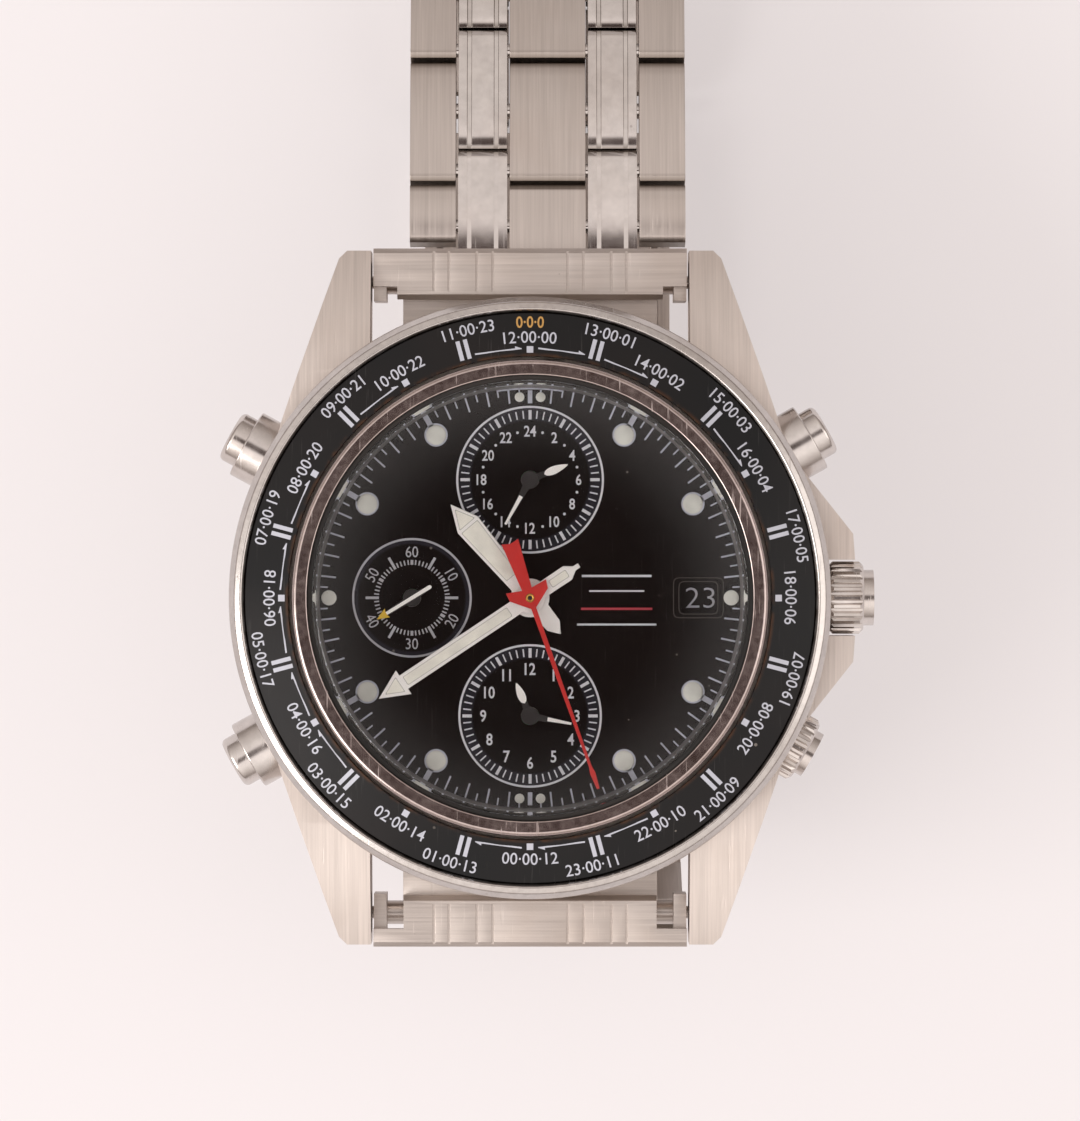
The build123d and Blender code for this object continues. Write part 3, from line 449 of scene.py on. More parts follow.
def blend_colours(tree, factor, first, second):
    """Colour between two colours, by a factor from 0 to 1."""
    made = add_node(tree, "ShaderNodeMix", data_type="RGBA")
    for index, value in ((0, factor), (6, first), (7, second)):
        connect(tree, made.inputs[index], value)
    return made.outputs[2]


def opaque(rgb):
    return (*rgb, 1.0)


def new_group(name, inputs, outputs):
    """Empty shader node group. Returns it with its inputs' outputs and its outputs' inputs."""
    tree = bpy.data.node_groups.new(name, "ShaderNodeTree")
    for socket, kind, default in inputs:
        made = tree.interface.new_socket(socket, in_out="INPUT", socket_type=kind)
        if default is not None:
            made.default_value = default
    for socket, kind in outputs:
        tree.interface.new_socket(socket, in_out="OUTPUT", socket_type=kind)
    return tree, tree.nodes.new("NodeGroupInput").outputs, tree.nodes.new("NodeGroupOutput").inputs


def grain_group():
    """Brushed grain: noise stretched by the lines per metre along each axis, fine and coarse."""
    tree, given, out = new_group("brushed_grain", [
        ("Vector", "NodeSocketVector", None),
        ("Lines", "NodeSocketVector", (8000.0, 150.0, 150.0)),
    ], [("Grain", "NodeSocketFloat")])
    fine = add_node(tree, "ShaderNodeVectorMath", {0: given["Vector"], 1: given["Lines"]},
                    operation="MULTIPLY")
    coarse = add_node(tree, "ShaderNodeVectorMath", {0: fine.outputs[0], 1: (0.21, 0.21, 0.21)},
                      operation="MULTIPLY")
    small = add_node(tree, "ShaderNodeTexNoise", {"Vector": fine.outputs[0], "Scale": 1.0, "Detail": 2.0})
    large = add_node(tree, "ShaderNodeTexNoise", {"Vector": coarse.outputs[0], "Scale": 1.0, "Detail": 2.0})
    total = maths(tree, "ADD", maths(tree, "MULTIPLY", small.outputs["Fac"], 0.6),
                  maths(tree, "MULTIPLY", large.outputs["Fac"], 0.4))
    tree.links.new(total, out["Grain"])
    return tree


def scratch_group():
    """Thin scratches in three directions: stretched noise above a threshold, in patches."""
    tree, given, out = new_group("fine_scratches", [
        ("Vector", "NodeSocketVector", None),
        ("Amount", "NodeSocketFloat", 0.5),
    ], [("Mask", "NodeSocketFloat")])
    lines = None
    for turn, stretch in scratch_lines:
        turned = add_node(tree, "ShaderNodeMapping", {
            "Vector": given["Vector"], "Rotation": (0.0, 0.0, turn), "Scale": stretch})
        noise = add_node(tree, "ShaderNodeTexNoise", {
            "Vector": turned.outputs[0], "Scale": 1.0, "Detail": 1.0})
        line = remap(tree, noise.outputs["Fac"], 0.7, 0.76, 0.0, 1.0)
        lines = line if lines is None else maths(tree, "MAXIMUM", lines, line)
    patch = add_node(tree, "ShaderNodeTexNoise", {"Vector": given["Vector"], "Scale": 420.0, "Detail": 1.0})
    patches = remap(tree, patch.outputs["Fac"], 0.42, 0.6, 0.25, 1.0)
    shown = maths(tree, "MULTIPLY", maths(tree, "MULTIPLY", lines, patches), given["Amount"])
    tree.links.new(shown, out["Mask"])
    return tree


def dust_group():
    """Sparse round specks: the near cells of a Voronoi pattern, kept where the cell's own chance is high."""
    tree, given, out = new_group("dust_specks", [
        ("Vector", "NodeSocketVector", None),
        ("Scale", "NodeSocketFloat", 900.0),
        ("Share", "NodeSocketFloat", 0.1),
    ], [("Mask", "NodeSocketFloat")])
    cells = add_node(tree, "ShaderNodeTexVoronoi", {"Vector": given["Vector"], "Scale": given["Scale"]})
    chance = add_node(tree, "ShaderNodeSeparateColor", {"Color": cells.outputs["Color"]})
    size = remap(tree, chance.outputs["Green"], 0.0, 1.0, 0.03, 0.12)
    near = maths(tree, "LESS_THAN", cells.outputs["Distance"], size)
    kept = maths(tree, "LESS_THAN", chance.outputs["Red"], given["Share"])
    bright = maths(tree, "MULTIPLY", maths(tree, "MULTIPLY", near, kept),
                   remap(tree, chance.outputs["Blue"], 0.0, 1.0, 0.3, 1.0))
    tree.links.new(bright, out["Mask"])
    return tree


def blotch_group():
    """Soft patches of noise with a threshold."""
    tree, given, out = new_group("soft_blotches", [
        ("Vector", "NodeSocketVector", None),
        ("Scale", "NodeSocketFloat", 200.0),
        ("Start", "NodeSocketFloat", 0.5),
        ("Full", "NodeSocketFloat", 0.7),
    ], [("Mask", "NodeSocketFloat")])
    noise = add_node(tree, "ShaderNodeTexNoise", {
        "Vector": given["Vector"], "Scale": given["Scale"], "Detail": 5.0})
    tree.links.new(remap(tree, noise.outputs["Fac"], given["Start"], given["Full"], 0.0, 1.0), out["Mask"])
    return tree


def rim_group():
    """Band about the Z axis: 1 at the radius, fading over the width, broken by noise.

    It is left out below the top of the case's wall.
    """
    tree, given, out = new_group("rim_band", [
        ("Vector", "NodeSocketVector", None),
        ("Radius", "NodeSocketFloat", 15.0 * mm),
        ("Width", "NodeSocketFloat", 0.2 * mm),
    ], [("Mask", "NodeSocketFloat")])
    place = add_node(tree, "ShaderNodeSeparateXYZ", {"Vector": given["Vector"]})
    flat = add_node(tree, "ShaderNodeCombineXYZ", {"X": place.outputs["X"], "Y": place.outputs["Y"]})
    radius = add_node(tree, "ShaderNodeVectorMath", {0: flat.outputs[0]}, operation="LENGTH")
    away = maths(tree, "ABSOLUTE", maths(tree, "SUBTRACT", radius.outputs["Value"], given["Radius"]))
    near = maths(tree, "SUBTRACT", 1.0, maths(tree, "DIVIDE", away, given["Width"]))
    noise = add_node(tree, "ShaderNodeTexNoise", {"Vector": given["Vector"], "Scale": 1300.0, "Detail": 4.0})
    raised = remap(tree, place.outputs["Z"], grime_start, grime_full, 0.0, 1.0)
    broken = maths(tree, "MULTIPLY", maths(tree, "MULTIPLY", maths(tree, "MAXIMUM", near, 0.0), raised),
                   remap(tree, noise.outputs["Fac"], 0.38, 0.62, 0.0, 1.0))
    tree.links.new(broken, out["Mask"])
    return tree


group_makers = {
    "brushed_grain": grain_group,
    "fine_scratches": scratch_group,
    "dust_specks": dust_group,
    "soft_blotches": blotch_group,
    "rim_band": rim_group,
}


def effect(tree, name, inputs):
    """Places a shared node group in a material with its own values, and returns its output."""
    group = bpy.data.node_groups.get(name) or group_makers[name]()
    made = tree.nodes.new("ShaderNodeGroup")
    made.node_tree = group
    for key, value in inputs.items():
        connect(tree, made.inputs[key], value)
    return made.outputs[0]


def new_material(name):
    """Material with a Principled shader. Returns it with its tree, its shader and Object coordinates."""
    material = bpy.data.materials.new("watch_" + name)
    material.use_nodes = True
    tree = material.node_tree
    shader = tree.nodes["Principled BSDF"]
    place = tree.nodes.new("ShaderNodeTexCoord").outputs["Object"]
    return material, tree, shader, place


def feed(tree, shader, **values):
    """Sets or links the shader's inputs, named with underscores for spaces."""
    for key, value in values.items():
        connect(tree, shader.inputs[key.replace("_", " ")], value)


def bumped(tree, height, depth):
    """Normal from a height of 0 to 1 over a depth in metres."""
    made = add_node(tree, "ShaderNodeBump", {"Height": height, "Distance": depth, "Strength": 1.0})
    return made.outputs["Normal"]


def looks():
    """Colours of the finishes."""
    return bpy.context.scene.watch_finishes


def tinted(base, *shares):
    """Colour with each part multiplied by a share: one share for all three parts, or one for each."""
    return tuple(part * share for part, share in zip(base, shares * 3))


def covered(tree, tone, mask, share, cover):
    """Tone under a share of another colour where a mask is."""
    return blend_colours(tree, maths(tree, "MULTIPLY", mask, share), tone, opaque(cover))


def rim_covered(tree, place, tone, rim, cover):
    """Tone under a band of another colour. The rim holds its radius and its width."""
    band = effect(tree, "rim_band", {"Vector": place, "Radius": rim[0], "Width": rim[1]})
    return blend_colours(tree, band, tone, opaque(cover))


def steel(name, base, roughness, lines, depth, scratches, stains, spread=0.12, rim=None, ends=False):
    """Steel with brushed grain, scratches, soft stains and specks, perhaps grime on a rim, and perhaps
    painted shade at the ends of the links.

    The grain's lines per metre and its depth are given, and the spread of the roughness over it.
    """
    material, tree, shader, place = new_material(name)
    grain = effect(tree, "brushed_grain", {"Vector": place, "Lines": lines})
    scratch = effect(tree, "fine_scratches", {"Vector": place, "Amount": scratches})
    blotch = effect(tree, "soft_blotches", {"Vector": place, "Scale": 170.0, "Start": 0.48, "Full": 0.75})
    speck = effect(tree, "dust_specks", {"Vector": place, "Scale": 1100.0, "Share": 0.05})
    shade = remap(tree, grain, 0.3, 0.7, 0.0, 1.0)
    tone = blend_colours(tree, shade, opaque(tinted(base, 0.8)), opaque(base))
    tone = covered(tree, tone, blotch, stains, looks().stain)
    tone = covered(tree, tone, speck, 0.55, looks().speck)
    if rim:
        tone = rim_covered(tree, place, tone, rim, looks().grime)
    # painted shade: darker towards the ends of the links, in the gaps between them
    if ends:
        along = add_node(tree, "ShaderNodeAttribute", attribute_name="along_block").outputs["Fac"]
        end = remap(tree, maths(tree, "ABSOLUTE", along), 0.88, 1.0, 0.0, 0.7)
        tone = blend_colours(tree, end, tone, opaque(looks().link_grime))
    rough = remap(tree, grain, 0.25, 0.75, roughness - spread / 2, roughness + spread / 2)
    rough = maths(tree, "ADD", rough, maths(tree, "MULTIPLY", scratch, 0.15))
    height = maths(tree, "SUBTRACT", grain, maths(tree, "MULTIPLY", scratch, 0.8))
    feed(tree, shader, Base_Color=tone, Metallic=1.0, Roughness=rough, Normal=bumped(tree, height, depth))
    return material


def brushed_case():
    return steel("brushed_case", looks().steel, roughness=0.46, lines=along_y, depth=0.010 * mm,
                 scratches=0.7, stains=0.25, rim=case_grime)


def brushed_end():
    return steel("brushed_end", tinted(looks().steel, outer_shade), roughness=0.42, lines=along_x,
                 depth=0.010 * mm, scratches=0.5, stains=0.3)


def brushed_links():
    return steel("brushed_links", tinted(looks().steel, outer_shade), roughness=0.34, lines=along_y,
                 depth=0.009 * mm, scratches=0.6, stains=0.2, ends=True)


def polished_links():
    return steel("polished_links", looks().polish, roughness=0.16, lines=even_grain, depth=0.002 * mm,
                 scratches=0.5, stains=0.25, spread=0.06, ends=True)


def clasp_steel():
    return steel("clasp_steel", tinted(looks().steel, outer_shade), roughness=0.36, lines=along_y,
                 depth=0.009 * mm, scratches=0.6, stains=0.2)


def polished_bezel():
    return steel("polished_bezel", tinted(looks().polish, outer_shade), roughness=0.2, lines=fine_grain,
                 depth=0.002 * mm, scratches=1.0, stains=0.2, spread=0.08, rim=bezel_grime)


def polished_ring():
    return steel("polished_ring", tinted(looks().polish, 0.78, 0.7, 0.69), roughness=0.17, lines=fine_grain,
                 depth=0.002 * mm, scratches=1.0, stains=0.15, spread=0.08, rim=glass_ring_grime)


def polished_controls():
    return steel("polished_controls", looks().polish, roughness=0.2, lines=even_grain, depth=0.003 * mm,
                 scratches=0.7, stains=0.35, spread=0.1)


def pin_steel():
    return steel("pin_steel", tinted(looks().steel, 0.75), roughness=0.3, lines=along_x, depth=0.003 * mm,
                 scratches=0.3, stains=0.5)


def cell_steel():
    return steel("cell_steel", looks().polish, roughness=0.28, lines=fine_grain, depth=0.002 * mm,
                 scratches=0.5, stains=0.1)


def movement_metal():
    return steel("movement_metal", looks().brass, roughness=0.32, lines=along_y, depth=0.004 * mm,
                 scratches=0.3, stains=0.1)


def gilt():
    return steel("gilt", looks().gold, roughness=0.25, lines=even_grain, depth=0.002 * mm,
                 scratches=0.3, stains=0.1)


def case_back_steel():
    """Back with turned rings: waves of the distance from the axis."""
    material, tree, shader, place = new_material("case_back_steel")
    rings = add_node(tree, "ShaderNodeTexWave", {
        "Vector": place, "Scale": 1500.0, "Distortion": 0.4, "Detail": 2.0},
        wave_type="RINGS", rings_direction="Z").outputs["Fac"]
    scratch = effect(tree, "fine_scratches", {"Vector": place, "Amount": 1.0})
    blotch = effect(tree, "soft_blotches", {"Vector": place, "Scale": 150.0, "Start": 0.48, "Full": 0.8})
    tone = covered(tree, opaque(looks().steel), blotch, 0.3, looks().stain)
    rough = remap(tree, rings, 0.0, 1.0, 0.24, 0.4)
    height = maths(tree, "SUBTRACT", rings, scratch)
    feed(tree, shader, Base_Color=tone, Metallic=1.0, Roughness=rough,
         Normal=bumped(tree, height, 0.003 * mm))
    return material


def black_finish(name, base, roughness, dust, shine=0.3, rim=None, scratches=0.0):
    """Black surface with dust specks, faint scratches and perhaps brown grime on a rim."""
    material, tree, shader, place = new_material(name)
    speck = effect(tree, "dust_specks", {"Vector": place, "Scale": 1000.0, "Share": dust})
    blotch = effect(tree, "soft_blotches", {"Vector": place, "Scale": 110.0, "Start": 0.4, "Full": 0.75})
    scratch = effect(tree, "fine_scratches", {"Vector": place, "Amount": scratches})
    tone = blend_colours(tree, blotch, opaque(base), opaque(tinted(base, 1.5, 1.25, 1.15)))
    tone = covered(tree, tone, scratch, 0.12, looks().scuff)
    tone = covered(tree, tone, speck, 0.45, looks().dust)
    if rim:
        tone = rim_covered(tree, place, tone, rim, looks().ring_grime)
    rough = remap(tree, blotch, 0.0, 1.0, roughness, roughness + 0.08)
    rough = maths(tree, "ADD", rough, maths(tree, "MULTIPLY", speck, 0.4))
    feed(tree, shader, Base_Color=tone, Roughness=rough, Specular_IOR_Level=shine,
         Normal=bumped(tree, maths(tree, "ADD", speck, blotch), 0.002 * mm))
    return material


def dial_black():
    return black_finish("dial_black", looks().black, roughness=0.4, dust=0.10, shine=0.03, scratches=0.25)


def ring_black():
    return black_finish("ring_black", looks().ring_black, roughness=0.2, dust=0.05, shine=0.16,
                        rim=ring_grime, scratches=0.4)


def rubber():
    return black_finish("rubber", looks().rubber, roughness=0.62, dust=0.2)


def small_dial_black():
    """Small dial with fine turned grooves about its own middle and a band under its ticks that is painted
    paler, as sheen.

    The piece's groove_radius holds the distance from that middle, and a second attribute is 1 on the band,
    whose paler colour is painted sheen.
    """
    material, tree, shader, place = new_material("small_dial_black")
    radius = add_node(tree, "ShaderNodeAttribute", attribute_name="groove_radius").outputs["Fac"]
    band = add_node(tree, "ShaderNodeAttribute", attribute_name="sheen_band").outputs["Fac"]
    pitch = bpy.context.scene.watch_small.groove
    wave = maths(tree, "SINE", maths(tree, "MULTIPLY", radius, full_turn / pitch))
    speck = effect(tree, "dust_specks", {"Vector": place, "Scale": 1300.0, "Share": 0.08})
    # painted sheen: the band under the ticks is painted paler and bluer than the dial
    tone = blend_colours(tree, band, opaque(looks().black), opaque(looks().band))
    tone = covered(tree, tone, speck, 0.4, looks().small_dust)
    rough = remap(tree, wave, -1.0, 1.0, 0.28, 0.4)
    feed(tree, shader, Base_Color=tone, Roughness=rough, Specular_IOR_Level=0.04,
         Normal=bumped(tree, wave, 0.002 * mm))
    return material


def flange_black():
    """Inner ring: dark lacquer over metal, scratched and patchy."""
    material, tree, shader, place = new_material("flange_black")
    scratch = effect(tree, "fine_scratches", {"Vector": place, "Amount": 1.0})
    blotch = effect(tree, "soft_blotches", {"Vector": place, "Scale": 330.0, "Start": 0.4, "Full": 0.7})
    tone = blend_colours(tree, blotch, opaque(looks().flange), opaque(looks().flange_patch))
    tone = covered(tree, tone, scratch, 0.5, looks().flange_scuff)
    rough = remap(tree, blotch, 0.0, 1.0, 0.36, 0.46)
    feed(tree, shader, Base_Color=tone, Metallic=0.5, Roughness=rough,
         Normal=bumped(tree, scratch, 0.001 * mm))
    return material


def paint(name, base, roughness, specks, mottle=0.12):
    """Paint with a fine uneven grain, specks and darker patches."""
    material, tree, shader, place = new_material(name)
    noise = add_node(tree, "ShaderNodeTexNoise", {
        "Vector": place, "Scale": 9000.0, "Detail": 3.0}).outputs["Fac"]
    blotch = effect(tree, "soft_blotches", {"Vector": place, "Scale": 700.0, "Start": 0.35, "Full": 0.7})
    speck = effect(tree, "dust_specks", {"Vector": place, "Scale": 2600.0, "Share": specks})
    tone = blend_colours(tree, blotch, opaque(base), opaque(tinted(base, 1.0 - mottle)))
    tone = covered(tree, tone, speck, 0.5, looks().paint_speck)
    rough = remap(tree, noise, 0.3, 0.7, roughness - 0.08, roughness + 0.08)
    feed(tree, shader, Base_Color=tone, Roughness=rough, Normal=bumped(tree, noise, 0.004 * mm))
    return material


def white_print():
    return paint("white_print", looks().white, roughness=0.5, specks=0.03)


def track_print():
    return paint("track_print", looks().track, roughness=0.5, specks=0.05, mottle=0.25)


def ring_print():
    return paint("ring_print", looks().ring_white, roughness=0.5, specks=0.03)


def grey_print():
    return paint("grey_print", looks().grey, roughness=0.5, specks=0.04)


def faint_print():
    return paint("faint_print", looks().faint, roughness=0.6, specks=0.05)


# Grey for the line about a hand's lume: a painted shadow at the edge of its recess
def groove_grey():
    return paint("groove_grey", looks().groove, roughness=0.6, specks=0.05)


def gold_print():
    return paint("gold_print", tinted(looks().gold, 0.75), roughness=0.45, specks=0.05)


def red_print():
    return paint("red_print", looks().plum, roughness=0.5, specks=0.03)


def hand_white():
    return paint("hand_white", looks().hand, roughness=0.42, specks=0.02, mottle=0.06)


def hand_black():
    return paint("hand_black", looks().hub, roughness=0.4, specks=0.02)


def hand_red():
    return paint("hand_red", looks().red, roughness=0.36, specks=0.01, mottle=0.1)


def tip_yellow():
    return paint("tip_yellow", looks().yellow, roughness=0.4, specks=0.02)


def lume():
    return paint("lume", looks().lume, roughness=0.75, specks=0.45, mottle=0.2)


def dot_lume():
    return paint("dot_lume", looks().dot, roughness=0.8, specks=0.6, mottle=0.25)


def holder_plastic():
    return paint("holder_plastic", looks().plastic, roughness=0.45, specks=0.02)


def copper_coil():
    """Enamelled wire: waves along the coil's axis, which lies along X."""
    material, tree, shader, place = new_material("copper_coil")
    turns = add_node(tree, "ShaderNodeTexWave", {"Vector": place, "Scale": 3200.0, "Distortion": 0.3},
                     wave_type="BANDS", bands_direction="X").outputs["Fac"]
    tone = blend_colours(tree, turns, (0.28, 0.075, 0.02, 1.0), (0.75, 0.28, 0.10, 1.0))
    feed(tree, shader, Base_Color=tone, Metallic=0.9, Roughness=remap(tree, turns, 0.0, 1.0, 0.42, 0.28),
         Normal=bumped(tree, turns, 0.02 * mm))
    return material


def board_green():
    """Circuit board: solder mask over tracks that follow the edges of square cells."""
    material, tree, shader, place = new_material("board_green")
    cells = add_node(tree, "ShaderNodeTexVoronoi", {"Vector": place, "Scale": 900.0}, distance="MANHATTAN")
    tracks = remap(tree, cells.outputs["Distance"], 0.5, 0.56, 0.0, 1.0)
    tone = blend_colours(tree, tracks, (0.012, 0.11, 0.045, 1.0), (0.03, 0.22, 0.09, 1.0))
    feed(tree, shader, Base_Color=tone, Roughness=remap(tree, tracks, 0.0, 1.0, 0.32, 0.45),
         Normal=bumped(tree, tracks, 0.01 * mm))
    return material


def crystal():
    """Mineral glass with hairline scratches."""
    material, tree, shader, place = new_material("crystal")
    scratch = effect(tree, "fine_scratches", {"Vector": place, "Amount": 0.5})
    smear = effect(tree, "soft_blotches", {"Vector": place, "Scale": 130.0, "Start": 0.4, "Full": 0.8})
    rough = maths(tree, "ADD", maths(tree, "MULTIPLY", scratch, 0.15),
                  maths(tree, "MULTIPLY", smear, 0.015))
    feed(tree, shader, Base_Color=(0.985, 0.985, 0.98, 1.0), Transmission_Weight=1.0, IOR=1.45,
         Roughness=rough, Normal=bumped(tree, scratch, 0.0004 * mm))
    return material


finish_makers = {maker.__name__: maker for maker in (
    brushed_case, brushed_end, brushed_links, polished_links, clasp_steel, polished_bezel, polished_ring,
    polished_controls, pin_steel, cell_steel, movement_metal, gilt, case_back_steel,
    dial_black, ring_black, rubber, small_dial_black, flange_black,
    white_print, track_print, ring_print, grey_print, faint_print, groove_grey, gold_print, red_print,
    hand_white, hand_black, hand_red, tip_yellow, lume, dot_lume, holder_plastic,
    copper_coil, board_green, crystal,
)}


def finish(name):
    """Material of that name, made when it is first asked for."""
    return bpy.data.materials.get("watch_" + name) or finish_makers[name]()


def add_piece(name, points, faces, material, body, slot, smooth=None):
    """Mesh object in the watch's frame. It rides on a body and takes the finish of its material; its slot is
    not used.
    """
    mesh = bpy.data.meshes.new(name)
    mesh.from_pydata(np.asarray(points, float).tolist(), [], [list(map(int, face)) for face in faces])
    mesh.update()
    if smooth is not None:
        mesh.polygons.foreach_set("use_smooth", np.ones(len(mesh.polygons), bool))
        mesh.set_sharp_from_angle(angle=math.radians(smooth))
    mesh.materials.append(finish(material))
    piece = bpy.data.objects.new(name, mesh)
    bpy.context.scene.collection.objects.link(piece)
    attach(piece, body)
    return piece


def joined(parts):
    """One list of points and one of faces from several."""
    points, faces, start = [], [], 0
    for part_points, part_faces in parts:
        points.append(np.asarray(part_points, float))
        faces.extend([[start + int(index) for index in face] for face in part_faces])
        start += len(part_points)
    return np.vstack(points), faces


def prisms(outlines, low, high):
    """Flat solids: each outline, counter-clockwise from above, stands from low to high.

    Both are functions of x and y.
    """
    outlines = np.asarray(outlines, float)
    count, corners, _ = outlines.shape
    x, y = outlines[..., 0], outlines[..., 1]
    under = np.stack([x, y, low(x, y)], -1)
    over = np.stack([x, y, high(x, y)], -1)
    points = np.concatenate([under, over], 1).reshape(-1, 3)
    starts = (np.arange(count) * 2 * corners)[:, None]
    around_outline = np.arange(corners)
    after = (around_outline + 1) % corners
    faces = (starts + corners + around_outline).tolist()
    faces += (starts + around_outline[::-1]).tolist()
    sides = np.stack([around_outline, after, after + corners, around_outline + corners], -1)
    faces += (starts[:, None] + sides[None]).reshape(-1, 4).tolist()
    return points, faces


def level(height):
    """Surface at one height."""
    return lambda x, y: np.full_like(x, height)


def print_levels(height, over=1.0):
    """Levels of a print's faces: one thickness of print below a height, and some thicknesses over it."""
    rise = bpy.context.scene.watch_dial.print_rise
    return level(height - rise), level(height + over * rise)


def ring_surface(offset):
    """Top of the number ring: height falls evenly from the inner to the outer radius, plus an offset."""
    sizes = bpy.context.scene.watch_ring
    fall = (sizes.inner_top - sizes.outer_top) / (sizes.outer - sizes.inner)
    return lambda x, y: sizes.inner_top - (np.hypot(x, y) - sizes.inner) * fall + offset


def bearings(step, skip=(), start=0.0):
    """Bearings in degrees clockwise from twelve, one every step, without the skipped ones."""
    return [bearing for bearing in np.arange(start, 360.0, step) if bearing not in skip]


def radial_bars(angles, inner, outer, width, shift=0.0, centre=(0.0, 0.0)):
    """Rectangles along a radius: corners r d + s e, with d = (sin a, cos a) and e = (cos a, -sin a)."""
    turn = np.radians(np.asarray(angles, float))[:, None]
    along = np.stack([np.sin(turn), np.cos(turn)], -1)
    across = np.stack([np.cos(turn), -np.sin(turn)], -1)
    reach = np.array([inner, inner, outer, outer])[None, :, None]
    side = shift + np.array([-width, width, width, -width])[None, :, None] / 2
    return reach * along + side * across + np.array(centre)


def circles(centres, radius, corners=40):
    """Round outlines: centre + r (cos a, sin a)."""
    turn = np.arange(corners) * full_turn / corners
    return np.asarray(centres, float)[:, None] + radius * np.stack([np.cos(turn), np.sin(turn)], -1)[None]


def polar(angles, radius, centre=(0.0, 0.0)):
    """Points at bearings clockwise from twelve."""
    turn = np.radians(np.asarray(angles, float))
    return np.stack([np.sin(turn), np.cos(turn)], -1) * radius + np.array(centre)


def turned_solids(profile, centres, steps=48):
    """Solids about upright axes: (cx + r cos a, cy + r sin a, h) for each (r, h) of a profile.

    The profile runs from the axis below to the axis above.
    """
    profile = np.asarray(profile, float)
    rim = profile[1:-1]
    turn = np.arange(steps) * full_turn / steps
    grid = np.stack([rim[:, :1] * np.cos(turn), rim[:, :1] * np.sin(turn), rim[:, 1:] + 0 * turn], -1)
    grid = grid.reshape(-1, 3)
    poles = np.array([[0, 0, profile[0, 1]], [0, 0, profile[-1, 1]]])
    one = np.vstack([grid, poles])
    centres = np.asarray(centres, float)
    middle = np.column_stack([centres, np.zeros(len(centres))])
    points = (middle[:, None] + one[None]).reshape(-1, 3)
    around_axis = np.arange(steps)
    after = (around_axis + 1) % steps
    rows = np.arange(len(rim) - 1)[:, None] * steps
    quads = np.stack([rows + around_axis, rows + after, rows + after + steps, rows + around_axis + steps], -1)
    top_row = (len(rim) - 1) * steps
    below = np.stack([np.full(steps, len(grid)), after, around_axis], -1)
    above = np.stack([np.full(steps, len(grid) + 1), around_axis + top_row, after + top_row], -1)
    starts = np.arange(len(centres)) * len(one)
    faces = (starts[:, None, None] + quads.reshape(1, -1, 4)).reshape(-1, 4).tolist()
    faces += (starts[:, None, None] + below[None]).reshape(-1, 3).tolist()
    faces += (starts[:, None, None] + above[None]).reshape(-1, 3).tolist()
    return points, faces


def turned_ring(profile, centre=(0.0, 0.0), steps=256):
    """Ring about an upright axis: (cx + r cos a, cy + r sin a, h) for each (r, h) of a profile.

    The profile is closed and counter-clockwise.
    """
    profile = np.asarray(profile, float)
    turn = np.arange(steps) * full_turn / steps
    points = np.stack([centre[0] + profile[:, :1] * np.cos(turn), centre[1] + profile[:, :1] * np.sin(turn),
                       profile[:, 1:] + 0 * turn], -1).reshape(-1, 3)
    row = np.arange(len(profile))[:, None] * steps
    next_row = ((np.arange(len(profile)) + 1) % len(profile))[:, None] * steps
    around_axis = np.arange(steps)
    after = (around_axis + 1) % steps
    faces = np.stack([row + around_axis, row + after, next_row + after, next_row + around_axis], -1)
    return points, faces.reshape(-1, 4).tolist()


def rounded(outline, radius, steps=4):
    """Outline with each corner p replaced by (1-t)^2 a + 2t(1-t) p + t^2 b, with t from 0 to 1.

    The points a and b lie a radius away from p on its two sides.
    """
    corner = np.asarray(outline, float)
    before = np.roll(corner, 1, 0) - corner
    after = np.roll(corner, -1, 0) - corner
    radii = np.broadcast_to(np.asarray(radius, float), len(corner))[:, None]
    limit = np.minimum(np.linalg.norm(before, axis=1), np.linalg.norm(after, axis=1))[:, None] * 0.48
    reach = np.minimum(radii, limit)
    start = corner + before / np.linalg.norm(before, axis=1, keepdims=True) * reach
    end = corner + after / np.linalg.norm(after, axis=1, keepdims=True) * reach
    t = np.linspace(0, 1, steps + 1)[None, :, None]
    curve = (1 - t) ** 2 * start[:, None] + 2 * t * (1 - t) * corner[:, None] + t ** 2 * end[:, None]
    return curve.reshape(-1, 2)


def turned_outline(outline, angle, centre=(0.0, 0.0)):
    """Outline that points to twelve, turned clockwise by an angle about its pivot."""
    turn = math.radians(angle)
    matrix = np.array([[math.cos(turn), math.sin(turn)], [-math.sin(turn), math.cos(turn)]])
    return np.asarray(outline, float) @ matrix.T + np.array(centre)


def mirrored(points):
    """Counter-clockwise outline from its right half, given from the top down."""
    right = np.asarray(points, float)[::-1]
    left = right[::-1] * np.array([-1.0, 1.0])
    left = left[np.abs(left[:, 0]) > 0]
    return np.vstack([right, left])


def number_mesh(text, height, narrow=0.86, weight=0.015):
    """A number as a mesh, centred on x = 0, standing on y = 0, with z = -1 below and 1 above."""
    curve = bpy.data.curves.new("number", "FONT")
    curve.body = text
    curve.align_x = "CENTER"
    curve.extrude = 1.0
    curve.offset = weight
    curve.resolution_u = 3
    writer = bpy.data.objects.new("number", curve)
    bpy.context.scene.collection.objects.link(writer)
    mesh = bpy.data.meshes.new_from_object(writer)
    points = np.zeros(len(mesh.vertices) * 3)
    mesh.vertices.foreach_get("co", points)
    points = points.reshape(-1, 3)
    faces = [list(face.vertices) for face in mesh.polygons]
    bpy.data.objects.remove(writer)
    bpy.data.curves.remove(curve)
    bpy.data.meshes.remove(mesh)
    low, high = points.min(0), points.max(0)
    scale = height / (high[1] - low[1])
    points[:, 0] = (points[:, 0] - (low[0] + high[0]) / 2) * scale * narrow
    points[:, 1] = (points[:, 1] - low[1]) * scale
    return points, faces


